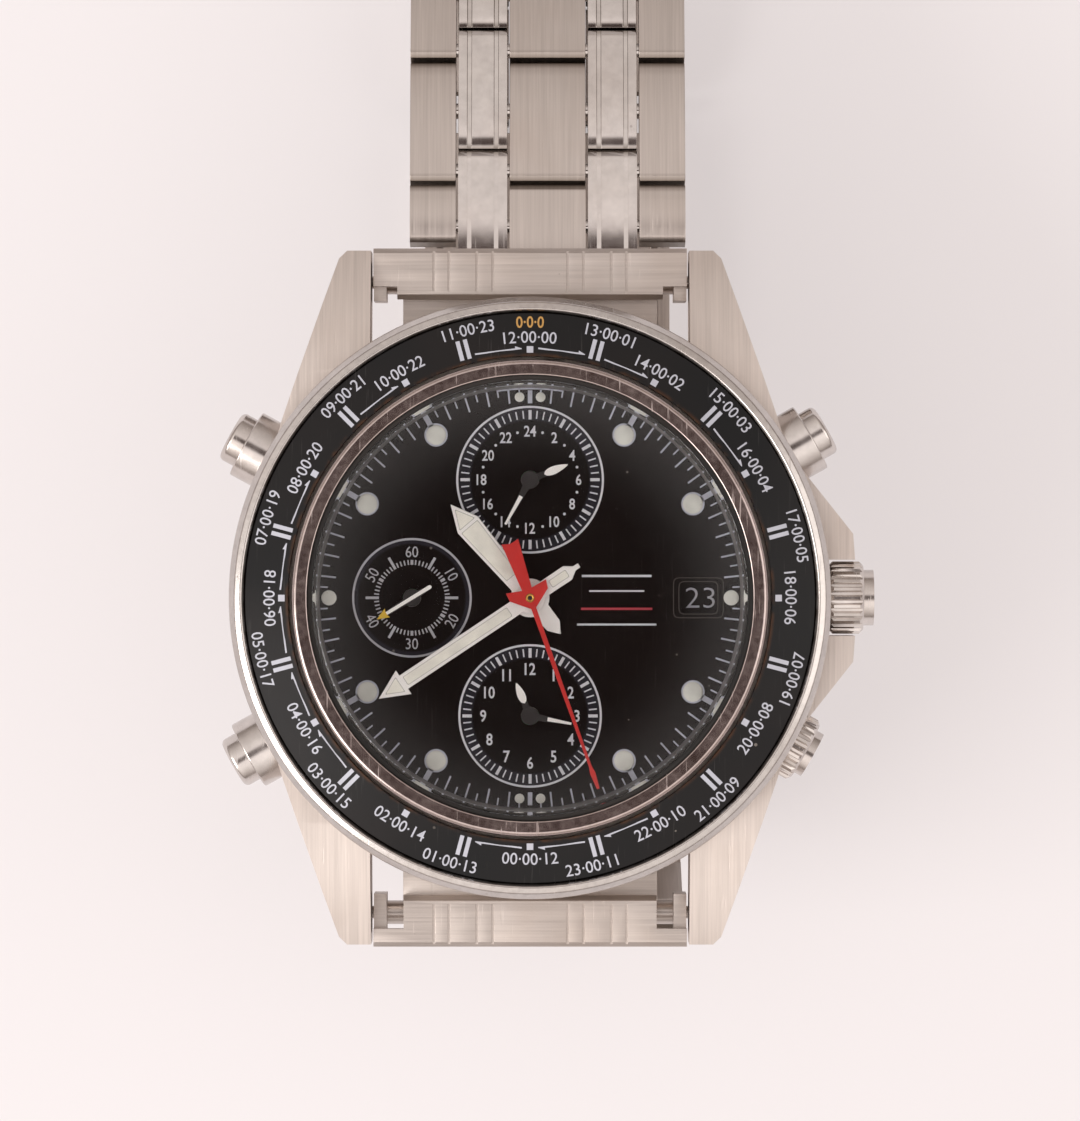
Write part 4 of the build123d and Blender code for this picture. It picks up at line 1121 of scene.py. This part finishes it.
def set_on_surface(points, flat, low, high):
    """Puts a number's mesh at flat places: its lower layer on low and its upper layer on high."""
    x, y = flat[:, 0], flat[:, 1]
    return np.stack([x, y, np.where(points[:, 2] > 0, high(x, y), low(x, y))], -1)


def bent_number(text, height, radius, bearing, flipped, low, high, narrow=0.86, weight=0.015):
    """Number along a circle: (r sin a, r cos a) with a = bearing + x / radius, r = radius + y - height / 2.

    A flipped one stands on the circle's outer side, with both signs turned.
    """
    points, faces = number_mesh(text, height, narrow, weight)
    sense = -1.0 if flipped else 1.0
    turn = math.radians(bearing) + sense * points[:, 0] / radius
    reach = radius + sense * (points[:, 1] - height / 2)
    flat = np.stack([reach * np.sin(turn), reach * np.cos(turn)], -1)
    return set_on_surface(points, flat, low, high), faces


def flat_number(text, height, centre, turn, low, high, narrow=0.86, weight=0.015):
    """Number centred on a point and turned clockwise about it."""
    points, faces = number_mesh(text, height, narrow, weight)
    flat = turned_outline(points[:, :2] - np.array([0.0, height / 2]), turn, centre)
    return set_on_surface(points, flat, low, high), faces


def link_axes(mesh):
    """Directions in y and z along a link and out of the bracelet.

    They are the directions in which its faces' normals, weighed by area, spread the least and the most.
    """
    normals, areas = np.zeros(len(mesh.polygons) * 3), np.zeros(len(mesh.polygons))
    mesh.polygons.foreach_get("normal", normals)
    mesh.polygons.foreach_get("area", areas)
    facing = normals.reshape(-1, 3)[:, 1:] * np.sqrt(areas)[:, None]
    along, out = np.linalg.eigh(facing.T @ facing)[1].T
    points = np.zeros(len(mesh.vertices) * 3)
    mesh.vertices.foreach_get("co", points)
    place = points.reshape(-1, 3)[:, 1:].mean(0) - np.mean(cad_bounds, 0)[1:]
    return along, out * np.sign(place @ out)


def arch_blocks(shape, mesh, fall):
    """Lowers a link's outer side towards its ends: by f s^2 t^4, with f the fall.

    Along the link s runs from -1 to 1, and outwards t runs from 0 to 1 over the outer half. What lies outside
    the beads' middle lines and what lies between them are measured apart. The attribute along_block keeps s.
    """
    along, out = link_axes(mesh)
    points = np.array([point.co for point in shape.verts])
    outside = np.abs(points[:, 0]) > bead_x
    blocks = []
    for part in (outside, ~outside):
        if part.any():
            reach, rise = points[part][:, 1:] @ along, points[part][:, 1:] @ out
            blocks.append((reach.min(), reach.max(), (rise.min() + rise.max()) / 2, rise.max()))
        else:
            blocks.append(blocks[0])
    normal = (0.0, *along)
    for low, high, _, _ in blocks:
        for cut in np.linspace(low, high, arch_cuts)[1:-1]:
            everything = shape.verts[:] + shape.edges[:] + shape.faces[:]
            bmesh.ops.bisect_plane(shape, geom=everything, dist=same_point / 2,
                                   plane_co=(0.0, *(along * cut)), plane_no=normal)
    points = np.array([point.co for point in shape.verts])
    outside = (np.abs(points[:, 0]) > bead_x)[:, None]
    low, high, middle, top = np.where(outside, *blocks).T
    share = 2 * (points[:, 1:] @ along - low) / (high - low) - 1
    height = np.clip((points[:, 1:] @ out - middle) / (top - middle), 0, 1)
    points[:, 1:] -= (fall * share ** 2 * height ** 4)[:, None] * out
    layer = shape.verts.layers.float.new("along_block")
    for point, place, value in zip(shape.verts, points, share):
        point.co = place
        point[layer] = value


def softened(name, width, material, segments=2, angle=28.0, fall=0.0):
    """Copy of a CAD node with merged points, rounded edges and its own finish, which stands for the node.

    A link's blocks fall away towards their ends by a height.
    """
    source = nodes[name]
    mesh = source.data.copy()
    shape = bmesh.new()
    shape.from_mesh(mesh)
    bmesh.ops.remove_doubles(shape, verts=shape.verts, dist=same_point)
    bmesh.ops.dissolve_limit(shape, angle_limit=math.radians(same_face), verts=shape.verts, edges=shape.edges)
    if fall:
        arch_blocks(shape, source.data, fall)
    shape.to_mesh(mesh)
    shape.free()
    mesh.materials.clear()
    mesh.materials.append(finish(material))
    mesh.polygons.foreach_set("use_smooth", np.ones(len(mesh.polygons), bool))
    mesh.polygons.foreach_set("material_index", np.zeros(len(mesh.polygons), np.int32))
    mesh.set_sharp_from_angle(angle=math.radians(angle))
    piece = bpy.data.objects.new(name + "_finished", mesh)
    bpy.context.scene.collection.objects.link(piece)
    if width:
        bevel = piece.modifiers.new("soft_edges", "BEVEL")
        bevel.width = width
        bevel.segments = segments
        bevel.limit_method = "ANGLE"
        bevel.angle_limit = math.radians(angle)
        bevel.harden_normals = True
    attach(piece, source["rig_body"])
    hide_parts(name)
    return piece


def soften_all(rows):
    """Finished copies of the nodes of a table."""
    for name, material, slot, width in rows:
        softened(name, width * mm, material)


def print_piece(name, parts, material, body="head"):
    """Piece of print or lume in one or more parts."""
    return add_piece(name, *joined(parts), material, body, "date_print")


class WATCH_OT_stage(Operator):
    """Adds the floor, the lamps, the sky and the camera"""
    bl_idname = "watch.stage"
    bl_label = "Stage"

    def execute(self, context):
        stage = context.scene.watch_stage
        low = cad_bounds[0]
        add_floor(stage, low[2])
        add_sky(context.scene, stage)
        add_lamps(stage)
        add_camera(context.scene, stage)
        context.scene.view_settings.view_transform = "Standard"
        return {"FINISHED"}


def add_floor(stage, height):
    """Round floor: (r cos a, r sin a, h), flat and wide."""
    corners = 64
    half = stage.half_floor
    turn = np.arange(corners) * full_turn / corners
    points = np.stack([half * np.cos(turn), half * np.sin(turn), np.full(corners, height)], -1)
    mesh = bpy.data.meshes.new("floor")
    mesh.from_pydata(points.tolist(), [], [list(range(corners))])
    material, tree, shader, place = new_material("pale_floor")
    noise = add_node(tree, "ShaderNodeTexNoise", {"Vector": place, "Scale": 9.0, "Detail": 2.0})
    tone = blend_colours(tree, noise.outputs["Fac"], opaque(stage.floor), opaque(tinted(stage.floor, 0.985)))
    feed(tree, shader, Base_Color=tone, Roughness=1.0, Specular_IOR_Level=0.0)
    path = add_node(tree, "ShaderNodeLightPath")
    seen = maths(tree, "MAXIMUM", path.outputs["Is Camera Ray"],
                 maths(tree, "MAXIMUM", path.outputs["Is Glossy Ray"], path.outputs["Is Transmission Ray"]))
    glow = add_node(tree, "ShaderNodeEmission", {"Color": opaque(stage.backdrop), "Strength": 1.0})
    shown = add_node(tree, "ShaderNodeMixShader", {
        0: maths(tree, "MULTIPLY", seen, stage.evenness), 1: shader.outputs[0], 2: glow.outputs[0]})
    tree.links.new(shown.outputs[0], tree.nodes["Material Output"].inputs["Surface"])
    mesh.materials.append(material)
    floor = bpy.data.objects.new("floor", mesh)
    bpy.context.scene.collection.objects.link(floor)


def add_sky(scene, stage):
    """Pale sky: dark straight overhead, dimmer and browner towards the horizon and towards twelve."""
    world = bpy.data.worlds.new("studio_sky")
    world.use_nodes = True
    scene.world = world
    tree = world.node_tree
    background = tree.nodes["Background"]
    direction = tree.nodes.new("ShaderNodeTexCoord").outputs["Generated"]
    heading = add_node(tree, "ShaderNodeSeparateXYZ", {"Vector": direction}).outputs
    ramp = add_node(tree, "ShaderNodeValToRGB", {"Fac": heading["Z"]})
    points = ramp.color_ramp.elements
    while len(points) < len(sky_steps):
        points.new(0.5)
    for point, (place, tone) in zip(points, sky_steps):
        point.position = place
        point.color = opaque(tone)
    far_side = remap(tree, heading["Y"], -0.08, 0.5, 0.02, 0.4)
    right_side = remap(tree, heading["X"], -0.5, 0.9, 0.0, 0.25)
    tone = blend_colours(tree, maths(tree, "ADD", far_side, right_side), ramp.outputs["Color"],
                         opaque(stage.sky_far))
    seen = add_node(tree, "ShaderNodeLightPath").outputs["Is Camera Ray"]
    tone = blend_colours(tree, seen, tone, opaque(stage.sky_seen))
    tree.links.new(tone, background.inputs["Color"])
    background.inputs["Strength"].default_value = stage.sky_strength


def add_lamps(stage):
    """Large soft lamps: the strongest at the lower left and a weak one at the right."""
    for name, place, size, power in lamp_rows:
        data = bpy.data.lights.new(name, "AREA")
        data.size = size
        data.energy = power
        data.color = stage.lamp
        lamp = bpy.data.objects.new(name, data)
        lamp.location = place
        away = -lamp.location.normalized()
        lamp.rotation_euler = away.to_track_quat("-Z", "Y").to_euler()
        bpy.context.scene.collection.objects.link(lamp)


def add_camera(scene, stage):
    """Camera straight above, its frame height set at the level of the ring."""
    data = bpy.data.cameras.new("camera")
    data.sensor_fit = "VERTICAL"
    data.sensor_height = 24.0
    data.lens = data.sensor_height * stage.height / stage.frame_height
    camera = bpy.data.objects.new("camera", data)
    camera.location = (stage.aim_x, stage.aim_y, scene.watch_ring.outer_top + stage.height)
    scene.collection.objects.link(camera)
    scene.camera = camera


class WATCH_OT_case(Operator):
    """Finishes the case, its back, the bezel, the glass ring and the end pieces"""
    bl_idname = "watch.case"
    bl_label = "Case"

    def execute(self, context):
        soften_all(case_nodes)
        return {"FINISHED"}


class WATCH_OT_controls(Operator):
    """Finishes the crowns and the pushers"""
    bl_idname = "watch.controls"
    bl_label = "Crowns and pushers"

    def execute(self, context):
        soften_all(control_nodes)
        return {"FINISHED"}


class WATCH_OT_bracelet(Operator):
    """Finishes the links and the clasp"""
    bl_idname = "watch.bracelet"
    bl_label = "Bracelet"

    def execute(self, context):
        for name in sorted(nodes):
            for part, material, slot, width, fall in bracelet_kinds:
                if part in name:
                    softened(name, width * mm, material, fall=fall * mm)
        return {"FINISHED"}


def ring_arrow(start, end, sizes):
    """Straight arrow between two bearings in degrees, with one barb on its outer side.

    The shaft is cut into even steps, so that it follows the ring's slope.
    """
    first, last = polar([start, end], sizes.arrow_radius)
    along = (last - first) / np.linalg.norm(last - first)
    outward = (first + last) / np.linalg.norm(first + last)
    half = outward * sizes.arrow_width / 2
    neck = last - along * arrow_neck * sizes.arrow_width
    barb = neck + outward * arrow_barb * sizes.arrow_width
    share = np.linspace(0.0, 1.0, arrow_cuts)[:, None]
    inner_side = first + (last - first) * share - half
    outer_side = neck + (first - neck) * share + half
    return np.vstack([inner_side, last, barb, outer_side])[::-1]


class WATCH_OT_ring(Operator):
    """Finishes the black ring and prints its scale and numbers"""
    bl_idname = "watch.ring"
    bl_label = "Number ring"

    def execute(self, context):
        sizes = context.scene.watch_ring
        rise = context.scene.watch_dial.print_rise
        low, high = ring_surface(-rise), ring_surface(rise)
        soften_all(ring_nodes)
        self.scale(sizes, low, high)
        self.numbers(sizes, low, high)
        zero = bent_number("0·0·0", sizes.outer_number, sizes.zero_row, 0.0, False, low, high)
        print_piece("ring_zero", [zero], "gold_print", "bezel")
        return {"FINISHED"}

    def scale(self, sizes, low, high):
        """Squares at the full hours, double bars between them and arrows beside some of them."""
        half = sizes.square / 2
        squares = radial_bars(bearings(hour_step), sizes.square_radius - half, sizes.square_radius + half,
                              sizes.square)
        pairs = [radial_bars(bearings(hour_step, start=zone_step), sizes.bar_inner, sizes.bar_outer,
                             sizes.bar_width, side * sizes.bar_pitch / 2) for side in (-1, 1)]
        arrows = []
        for start in arrow_starts:
            from_square = start % hour_step == 0
            first = start + (square_gap if from_square else bar_gap)
            last = start + zone_step - (bar_gap if from_square else square_gap)
            arrows.append(ring_arrow(first, last, sizes))
        parts = [prisms(shape, low, high) for shape in (squares, *pairs, np.array(arrows))]
        print_piece("ring_scale", parts, "ring_print", "bezel")

    def numbers(self, sizes, low, high):
        """For each hour on the dial at noon, that hour and the one twelve hours on, in two rows by turns."""
        made = []
        for index in range(day_hours):
            inner = index % 2 == 0
            bearing = index * zone_step
            flipped = flip_start < bearing < flip_end
            hour = (noon + index) % day_hours
            text = f"{hour:02d}·00·{(hour + noon) % day_hours:02d}"
            if inner:
                radius, height, shift = sizes.inner_row, sizes.inner_number, 0.0
            else:
                radius, height, shift = sizes.outer_row, sizes.outer_number, outer_shift
            made.append(bent_number(text, height, radius, bearing + shift, flipped, low, high,
                                    narrow=0.96, weight=0.004))
        print_piece("ring_numbers", made, "ring_print", "bezel")


class WATCH_OT_dial(Operator):
    """Finishes the dial and its inner ring, prints the minute track and sets the hour dots"""
    bl_idname = "watch.dial"
    bl_label = "Dial"

    def execute(self, context):
        sizes = context.scene.watch_dial
        soften_all(dial_nodes)
        self.minute_track(sizes)
        self.hour_dots(sizes)
        self.date_frame(sizes)
        self.plain_rules(sizes)
        return {"FINISHED"}

    def minute_track(self, sizes):
        """Long ticks every minute and short ones between, and an arc over the ones about twelve."""
        long_bars = radial_bars(bearings(minute_step, skip=quarters), sizes.track - sizes.long_tick,
                                sizes.track, sizes.tick_width)
        short_bars = radial_bars(bearings(minute_step, start=minute_step / 2), sizes.track - sizes.short_tick,
                                 sizes.track, half_tick_share * sizes.tick_width)
        turn = np.linspace(-arc_turn, arc_turn, 25)
        arc = np.vstack([polar(turn[::-1], sizes.track), polar(turn, sizes.track - sizes.arc)])
        parts = [prisms(shape, *print_levels(sizes.top)) for shape in (long_bars, short_bars, [arc])]
        print_piece("minute_track", parts, "track_print")

    def hour_dots(self, sizes):
        """Printed discs with stems out to the track, and a low dome of lume on each: h sin t over r cos t."""
        hours = bearings(hour_step, skip=quarters)
        centres = polar(hours, sizes.dot_radius)
        side_centres = polar(side_bearings, sizes.side_radius)
        pair_turns = [bearing + turn for bearing in pair_bearings for turn in (-pair_turn, pair_turn)]
        pair_centres = polar(pair_turns, sizes.pair_radius)
        stems = radial_bars(hours, sizes.dot_radius, sizes.track, sizes.stem_width)
        posts = radial_bars(pair_bearings, sizes.pair_radius - sizes.post / 2,
                            sizes.pair_radius + sizes.post / 2, sizes.post_width)
        parts = [prisms(shape, *print_levels(sizes.top, over=1.5))
                 for shape in (circles(centres, sizes.dot), stems, posts)]
        print_piece("dot_bases", parts, "track_print")
        foot = sizes.top + 2 * sizes.print_rise
        t = np.linspace(0, math.pi / 2, 9)
        domes = []
        for places, radius in ((centres, sizes.lume), (side_centres, sizes.side_dot),
                               (pair_centres, sizes.pair_dot)):
            rise = dome_share * radius
            side = [(radius * math.cos(a), foot + rise * math.sin(a)) for a in t[:-1]]
            domes.append(turned_solids([(0, sizes.top), *side, (0, foot + rise)], places))
        add_piece("hour_dots", *joined(domes), "dot_lume", "head", "date_print", smooth=50.0)

    def date_frame(self, sizes):
        """Two rounded frames about the date window: a closed outline with a smaller one inside it."""
        frames = []
        for grow_x, grow_y in frame_growths:
            loops = []
            for extra in (0.0, sizes.frame_line):
                half_x = sizes.window_width / 2 + grow_x * mm + extra
                half_y = sizes.window_height / 2 + grow_y * mm + extra
                corners = [(-half_x, -half_y), (half_x, -half_y), (half_x, half_y), (-half_x, half_y)]
                outline = rounded(corners, frame_corner * mm + extra, steps=6)
                loops.append(outline + np.array([sizes.window_x, 0.0]))
            frames.append(frame_solid(*loops, sizes.top - sizes.print_rise, sizes.top + 2 * sizes.print_rise))
        print_piece("date_frame", frames, "faint_print")

    def plain_rules(self, sizes):
        """Plain rules to the right of the middle, white, red and white."""
        for name, material, lines in dial_rules:
            shapes = []
            for y, wide, thick in lines:
                half = np.array([wide, thick]) / 2
                corners = np.array([(-1, -1), (1, -1), (1, 1), (-1, 1)]) * half + np.array([rules_x, y])
                shapes.append(corners * mm)
            print_piece(name, [prisms(shapes, *print_levels(sizes.top))], material)


def frame_solid(inner, outer, low, high):
    """Flat frame between two outlines with as many points each."""
    count = len(inner)
    levels = [(inner, low), (outer, low), (outer, high), (inner, high)]
    points = np.vstack([np.column_stack([loop, np.full(count, height)]) for loop, height in levels])
    turn = np.arange(count)
    after = (turn + 1) % count
    faces = []
    for row in range(4):
        here, there = row * count, (row + 1) % 4 * count
        faces += np.stack([here + turn, here + after, there + after, there + turn], -1).tolist()
    return points, faces


class WATCH_OT_small_dials(Operator):
    """Adds the grooved floors, circles, ticks and numbers of the three small dials"""
    bl_idname = "watch.small_dials"
    bl_label = "Small dials"

    def execute(self, context):
        sizes = context.scene.watch_small
        local, alarm, counter = small_centres(sizes)
        self.floor_ring("local", local, sizes.local, sizes.local_track, sizes)
        self.floor_ring("alarm", alarm, sizes.alarm, sizes.alarm_track, sizes)
        self.floor_ring("counter", counter, sizes.counter, sizes.counter - 2 * sizes.line, sizes)
        self.print_hours("local", local, sizes.local, sizes.local_track, sizes)
        self.print_hours("alarm", alarm, sizes.alarm, sizes.alarm_track, sizes)
        self.print_counter(counter, sizes)
        self.print_numbers(local, alarm, counter, sizes)
        return {"FINISHED"}

    def levels(self, sizes):
        return print_levels(sizes.floor, over=4)

    def print_numbers(self, local, alarm, counter, sizes):
        """Even hours with spots between them, the hours of the alarm, and the counter's turned tens."""
        even_hours = ["24"] + [str(hour) for hour in range(2, day_hours, 2)]
        numbers = self.upright_numbers(even_hours, sizes.local_number, sizes.local_row, local, sizes)
        spots = polar(bearings(hour_step, start=zone_step), sizes.local_row, local)
        numbers.append(prisms(circles(spots, sizes.spot, corners=12), *self.levels(sizes)))
        print_piece("local_numbers", numbers, "white_print")
        hours = ["12"] + [str(hour) for hour in range(1, noon)]
        numbers = self.upright_numbers(hours, sizes.alarm_number, sizes.alarm_row, alarm, sizes)
        print_piece("alarm_numbers", numbers, "white_print")
        numbers = []
        for index, (text, turn) in enumerate(counter_texts):
            place = polar([index * tens_step], sizes.counter_row, counter)[0]
            numbers.append(flat_number(text, sizes.counter_number, place, turn, *self.levels(sizes),
                                       weight=0.0))
        print_piece("counter_numbers", numbers, "grey_print")

    def upright_numbers(self, texts, height, row, centre, sizes):
        """Upright numbers every thirty degrees about a pivot."""
        places = polar(np.arange(len(texts)) * hour_step, row, centre)
        return [flat_number(text, height, place, 0.0, *self.levels(sizes), narrow=0.82)
                for text, place in zip(texts, places)]

    def floor_ring(self, name, centre, radius, band, sizes):
        """Grooved disc with a raised band at its edge, open about the pivot.

        Its face is low, and its band rises from middle to top.
        """
        under, low, middle, top = (sizes.floor + steps * floor_step for steps in (-1.0, 0.4, 1.4, 2.4))
        inner, outer = band - band_margin, band + floor_step
        profile = [(sizes.hole, under), (radius, under), (radius, top), (outer, middle), (inner, low)]
        profile += [(r, low) for r in np.linspace(inner - band_margin / 2, sizes.hole, 8)]
        piece = add_piece(name + "_floor", *turned_ring(profile, centre, steps=160), "small_dial_black",
                          "head", "dial_black", smooth=30.0)
        points = np.zeros(len(piece.data.vertices) * 3)
        piece.data.vertices.foreach_get("co", points)
        flat = points.reshape(-1, 3)[:, :2] - np.array(centre)
        reach = np.hypot(flat[:, 0], flat[:, 1])
        # the band under the ticks, painted paler as sheen
        on_sheen_band = (reach > (inner + outer) / 2).astype(float)
        for key, values in (("groove_radius", reach), ("sheen_band", on_sheen_band)):
            written = piece.data.attributes.new(key, "FLOAT", "POINT")
            written.data.foreach_set("value", values.astype(np.float32))

    def edge_circle(self, centre, radius, sizes):
        """Printed circle on the step from the dial down to a small dial."""
        dial = bpy.context.scene.watch_dial
        bottom, top = sizes.floor + dial.print_rise, dial.top + dial.print_rise
        edge = radius + sizes.line / 2
        profile = [(edge - sizes.line, bottom), (edge, bottom), (edge, top), (edge - sizes.line, top)]
        return turned_ring(profile, centre, steps=160)

    def print_hours(self, name, centre, radius, inner, sizes):
        """Circle, a tick every six degrees and a wide one every thirty."""
        outer = inner + sizes.track_width
        trim = tick_trim * sizes.track_width
        wide = bearings(hour_step)
        thin = bearings(minute_step, skip=wide)
        parts = [prisms(radial_bars(angles, start, end, width, centre=centre), *self.levels(sizes))
                 for angles, start, end, width in ((thin, inner + trim, outer - trim / 2, sizes.thin),
                                                   (wide, inner, outer, sizes.wide))]
        parts.append(self.edge_circle(centre, radius, sizes))
        print_piece(name + "_scale", parts, "white_print")

    def print_counter(self, centre, sizes):
        """Circle, fine ticks every six degrees, wide ones every sixty and long ones between the numbers."""
        inner, outer = sizes.counter_track, sizes.counter_track + sizes.counter_tick
        wide = bearings(tens_step)
        long_ones = bearings(tens_step, start=hour_step)
        thin = bearings(minute_step, skip=wide + long_ones)
        parts = [prisms(radial_bars(angles, inner, end, width, centre=centre), *self.levels(sizes))
                 for angles, end, width in ((thin, outer, sizes.thin),
                                            (wide, outer, ten_tick_share * sizes.wide),
                                            (long_ones, sizes.counter_reach, long_tick_share * sizes.wide))]
        parts.append(self.edge_circle(centre, sizes.counter, sizes))
        print_piece("counter_scale", parts, "grey_print")


def small_centres(sizes):
    """Pivots of the local, the alarm and the counter dial."""
    return (0.0, sizes.distance), (0.0, -sizes.distance), (-sizes.distance, 0.0)


class WATCH_OT_hands(Operator):
    """Finishes the hands and lays the lume into the hour and minute hands"""
    bl_idname = "watch.hands"
    bl_label = "Hands"

    def execute(self, context):
        sizes = context.scene.watch_hands
        soften_all(hand_nodes)
        self.inlays("hour", sizes.hour_angle, hour_inlays, sizes)
        self.inlays("minute", sizes.minute_angle, minute_inlays, sizes)
        self.sweep_pin(sizes)
        self.small_hands(sizes)
        return {"FINISHED"}

    def inlays(self, body, angle, shapes, sizes):
        """Lume panels on a hand, each on a slightly larger grey sheet that shows as a line about it: a
        painted shadow at the edge of the lume's recess.
        """
        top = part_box(body + "_hand")[1][2]
        # the grey sheet under the lume is painted shadow
        for name, material, grow, rise in (("_groove", "groove_grey", sizes.groove, 0.4 * sizes.rise),
                                           ("_lume", "lume", 0.0, sizes.rise)):
            parts = []
            for shape in shapes:
                outline = rounded(grown(np.array(shape)[::-1] * mm, grow), inlay_corner * mm, steps=3)
                outline = turned_outline(outline, angle)
                parts.append(prisms([outline], level(top - sizes.rise), level(top + rise)))
            add_piece(body + name, *joined(parts), material, body, "white_hand")

    def sweep_pin(self, sizes):
        """Gilt rim about a dark middle on the sweep hand's axis.

        Each is turned from a profile of points (r, top + h), closed down to the hand and at the axis.
        """
        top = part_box("sweep_hand")[1][2]
        low = top - sizes.rise
        for name, points, material, smooth in (("sweep_pin", pin_rim, "gilt", 40.0),
                                               ("sweep_core", pin_core, "hand_black", None)):
            side = [(radius * mm, top + height * mm) for radius, height in points]
            profile = [(0, low), (side[0][0], low), *side, (0, side[-1][1])]
            add_piece(name, *turned_solids(profile, [dial_centre]), material, "sweep", "red_hand",
                      smooth=smooth)

    def small_hands(self, sizes):
        """Black hubs with white blades: half width w sin(pi s^0.7)^0.8 for a leaf, straight for a baton."""
        soften_all(small_hand_nodes)
        local, alarm, counter = small_centres(bpy.context.scene.watch_small)
        for body, (start, end, leaf) in blade_reaches.items():
            share = np.linspace(0.0, 1.0, 15)
            if leaf:
                wide = sizes.leaf * np.sin(math.pi * share ** 0.7) ** 0.8 + sizes.rise
            else:
                wide = sizes.baton * (1.0 - baton_taper * share)
            right = np.stack([wide, (start + (end - start) * share) * mm], -1)[::-1]
            centre = local if body.startswith("local") else alarm
            outline = turned_outline(mirrored(right), getattr(sizes, body), centre)
            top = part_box(body + "_hand")[1][2]
            add_piece(body + "_blade", *prisms([outline], level(top - sizes.rise), level(top + sizes.rise)),
                      "hand_white", body, "white_hand")
        self.counter_bar(counter, sizes)

    def counter_bar(self, counter, sizes):
        """White bar with a round tail, and a yellow arrow over its head."""
        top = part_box("counter_hand")[1][2]
        half = sizes.bar / 2
        share = np.linspace(0.0, math.pi / 2, 6)
        foot = -counter_tail * mm
        tail = [(half * math.cos(turn), foot + half - half * math.sin(turn)) for turn in share[:-1]]
        bar = mirrored([(bar_tip * half, counter_head * mm), *tail, (0.0, foot)])
        bar = turned_outline(bar, sizes.counter, counter)
        add_piece("counter_bar", *prisms([bar], level(top - sizes.rise), level(top + sizes.rise)),
                  "hand_white", "counter", "white_hand")
        arrow = turned_outline(np.array(counter_arrow) * mm, sizes.counter, counter)
        add_piece("counter_tip", *prisms([arrow], level(top - 4 * sizes.rise), level(top + 2 * sizes.rise)),
                  "tip_yellow", "counter", "white_hand")


def grown(outline, width):
    """Convex counter-clockwise outline with each side moved out by a width w.

    Its corners are p + w (n + m) / (1 + n.m), with n and m the normals of a corner's two sides.
    """
    corner = np.asarray(outline, float)
    side = np.roll(corner, -1, 0) - corner
    normal = np.stack([side[:, 1], -side[:, 0]], -1) / np.linalg.norm(side, axis=1, keepdims=True)
    before = np.roll(normal, 1, 0)
    return corner + width * (before + normal) / (1 + np.sum(before * normal, 1, keepdims=True))


class WATCH_OT_date(Operator):
    """Finishes the date disc and prints its thirty-one numbers"""
    bl_idname = "watch.date"
    bl_label = "Date"

    def execute(self, context):
        sizes = context.scene.watch_dial
        soften_all(date_nodes)
        levels = print_levels(sizes.date_top)
        numbers = []
        for day in range(1, month_days + 1):
            bearing = date_bearing + (day - shown_day) * 360.0 / month_days
            place = polar([bearing], sizes.date_row)[0]
            numbers.append(flat_number(str(day), sizes.date_height, place, bearing - date_bearing, *levels,
                                       narrow=1.12, weight=-0.012))
        print_piece("date_numbers", numbers, "grey_print", "date")
        return {"FINISHED"}


class WATCH_OT_glass(Operator):
    """Makes the glass: a flat disc with a bevelled and rounded edge"""
    bl_idname = "watch.glass"
    bl_label = "Glass"

    def execute(self, context):
        low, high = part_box("glass")
        radius, bottom, top = high[0], low[2], high[2]
        edge = glass_bevel * mm
        corners = [(0, bottom), (radius, bottom), (radius, top - edge), (radius - edge, top), (0, top)]
        rim = rounded(corners, np.array(glass_corners) * mm)
        profile = np.vstack([[0, bottom], rim[rim[:, 0] > 0], [0, top]])
        piece = add_piece("glass_finished", *turned_solids(profile, [dial_centre], steps=192), "crystal",
                          "head", "glass", smooth=30.0)
        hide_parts("glass")
        return {"FINISHED"}


class WATCH_OT_movement(Operator):
    """Finishes what is inside the case"""
    bl_idname = "watch.movement"
    bl_label = "Movement"

    def execute(self, context):
        soften_all(movement_nodes)
        return {"FINISHED"}


class WATCH_PT_panel(Panel):
    """Lists the steps of the watch and its sizes"""
    bl_idname = "WATCH_PT_panel"
    bl_label = "World time watch"
    bl_space_type = "VIEW_3D"
    bl_region_type = "UI"
    bl_category = "Watch"

    def draw(self, context):
        for step in operators:
            self.layout.operator(step.bl_idname)
        for name, group in settings.items():
            box = self.layout.box()
            for key in group.__annotations__:
                box.prop(getattr(context.scene, name), key)


operators = (WATCH_OT_stage, WATCH_OT_case, WATCH_OT_controls, WATCH_OT_bracelet, WATCH_OT_ring,
             WATCH_OT_dial, WATCH_OT_small_dials, WATCH_OT_hands, WATCH_OT_date, WATCH_OT_glass,
             WATCH_OT_movement)
settings = {"watch_ring": RingSizes, "watch_dial": DialSizes, "watch_small": SmallDialSizes,
            "watch_hands": HandSizes, "watch_finishes": Finishes, "watch_stage": StageSettings}


def register():
    for group in settings.values():
        bpy.utils.register_class(group)
    for name, group in settings.items():
        setattr(bpy.types.Scene, name, PointerProperty(type=group))
    for step in operators + (WATCH_PT_panel,):
        bpy.utils.register_class(step)


def unregister():
    for step in reversed(operators + (WATCH_PT_panel,)):
        bpy.utils.unregister_class(step)
    for name, group in settings.items():
        delattr(bpy.types.Scene, name)
        bpy.utils.unregister_class(group)


def main():
    register()
    bpy.ops.watch.stage()
    bpy.ops.watch.case()
    bpy.ops.watch.controls()
    bpy.ops.watch.bracelet()
    bpy.ops.watch.ring()
    bpy.ops.watch.dial()
    bpy.ops.watch.small_dials()
    bpy.ops.watch.hands()
    bpy.ops.watch.date()
    bpy.ops.watch.glass()
    bpy.ops.watch.movement()


if __name__ == "__main__":
    main()
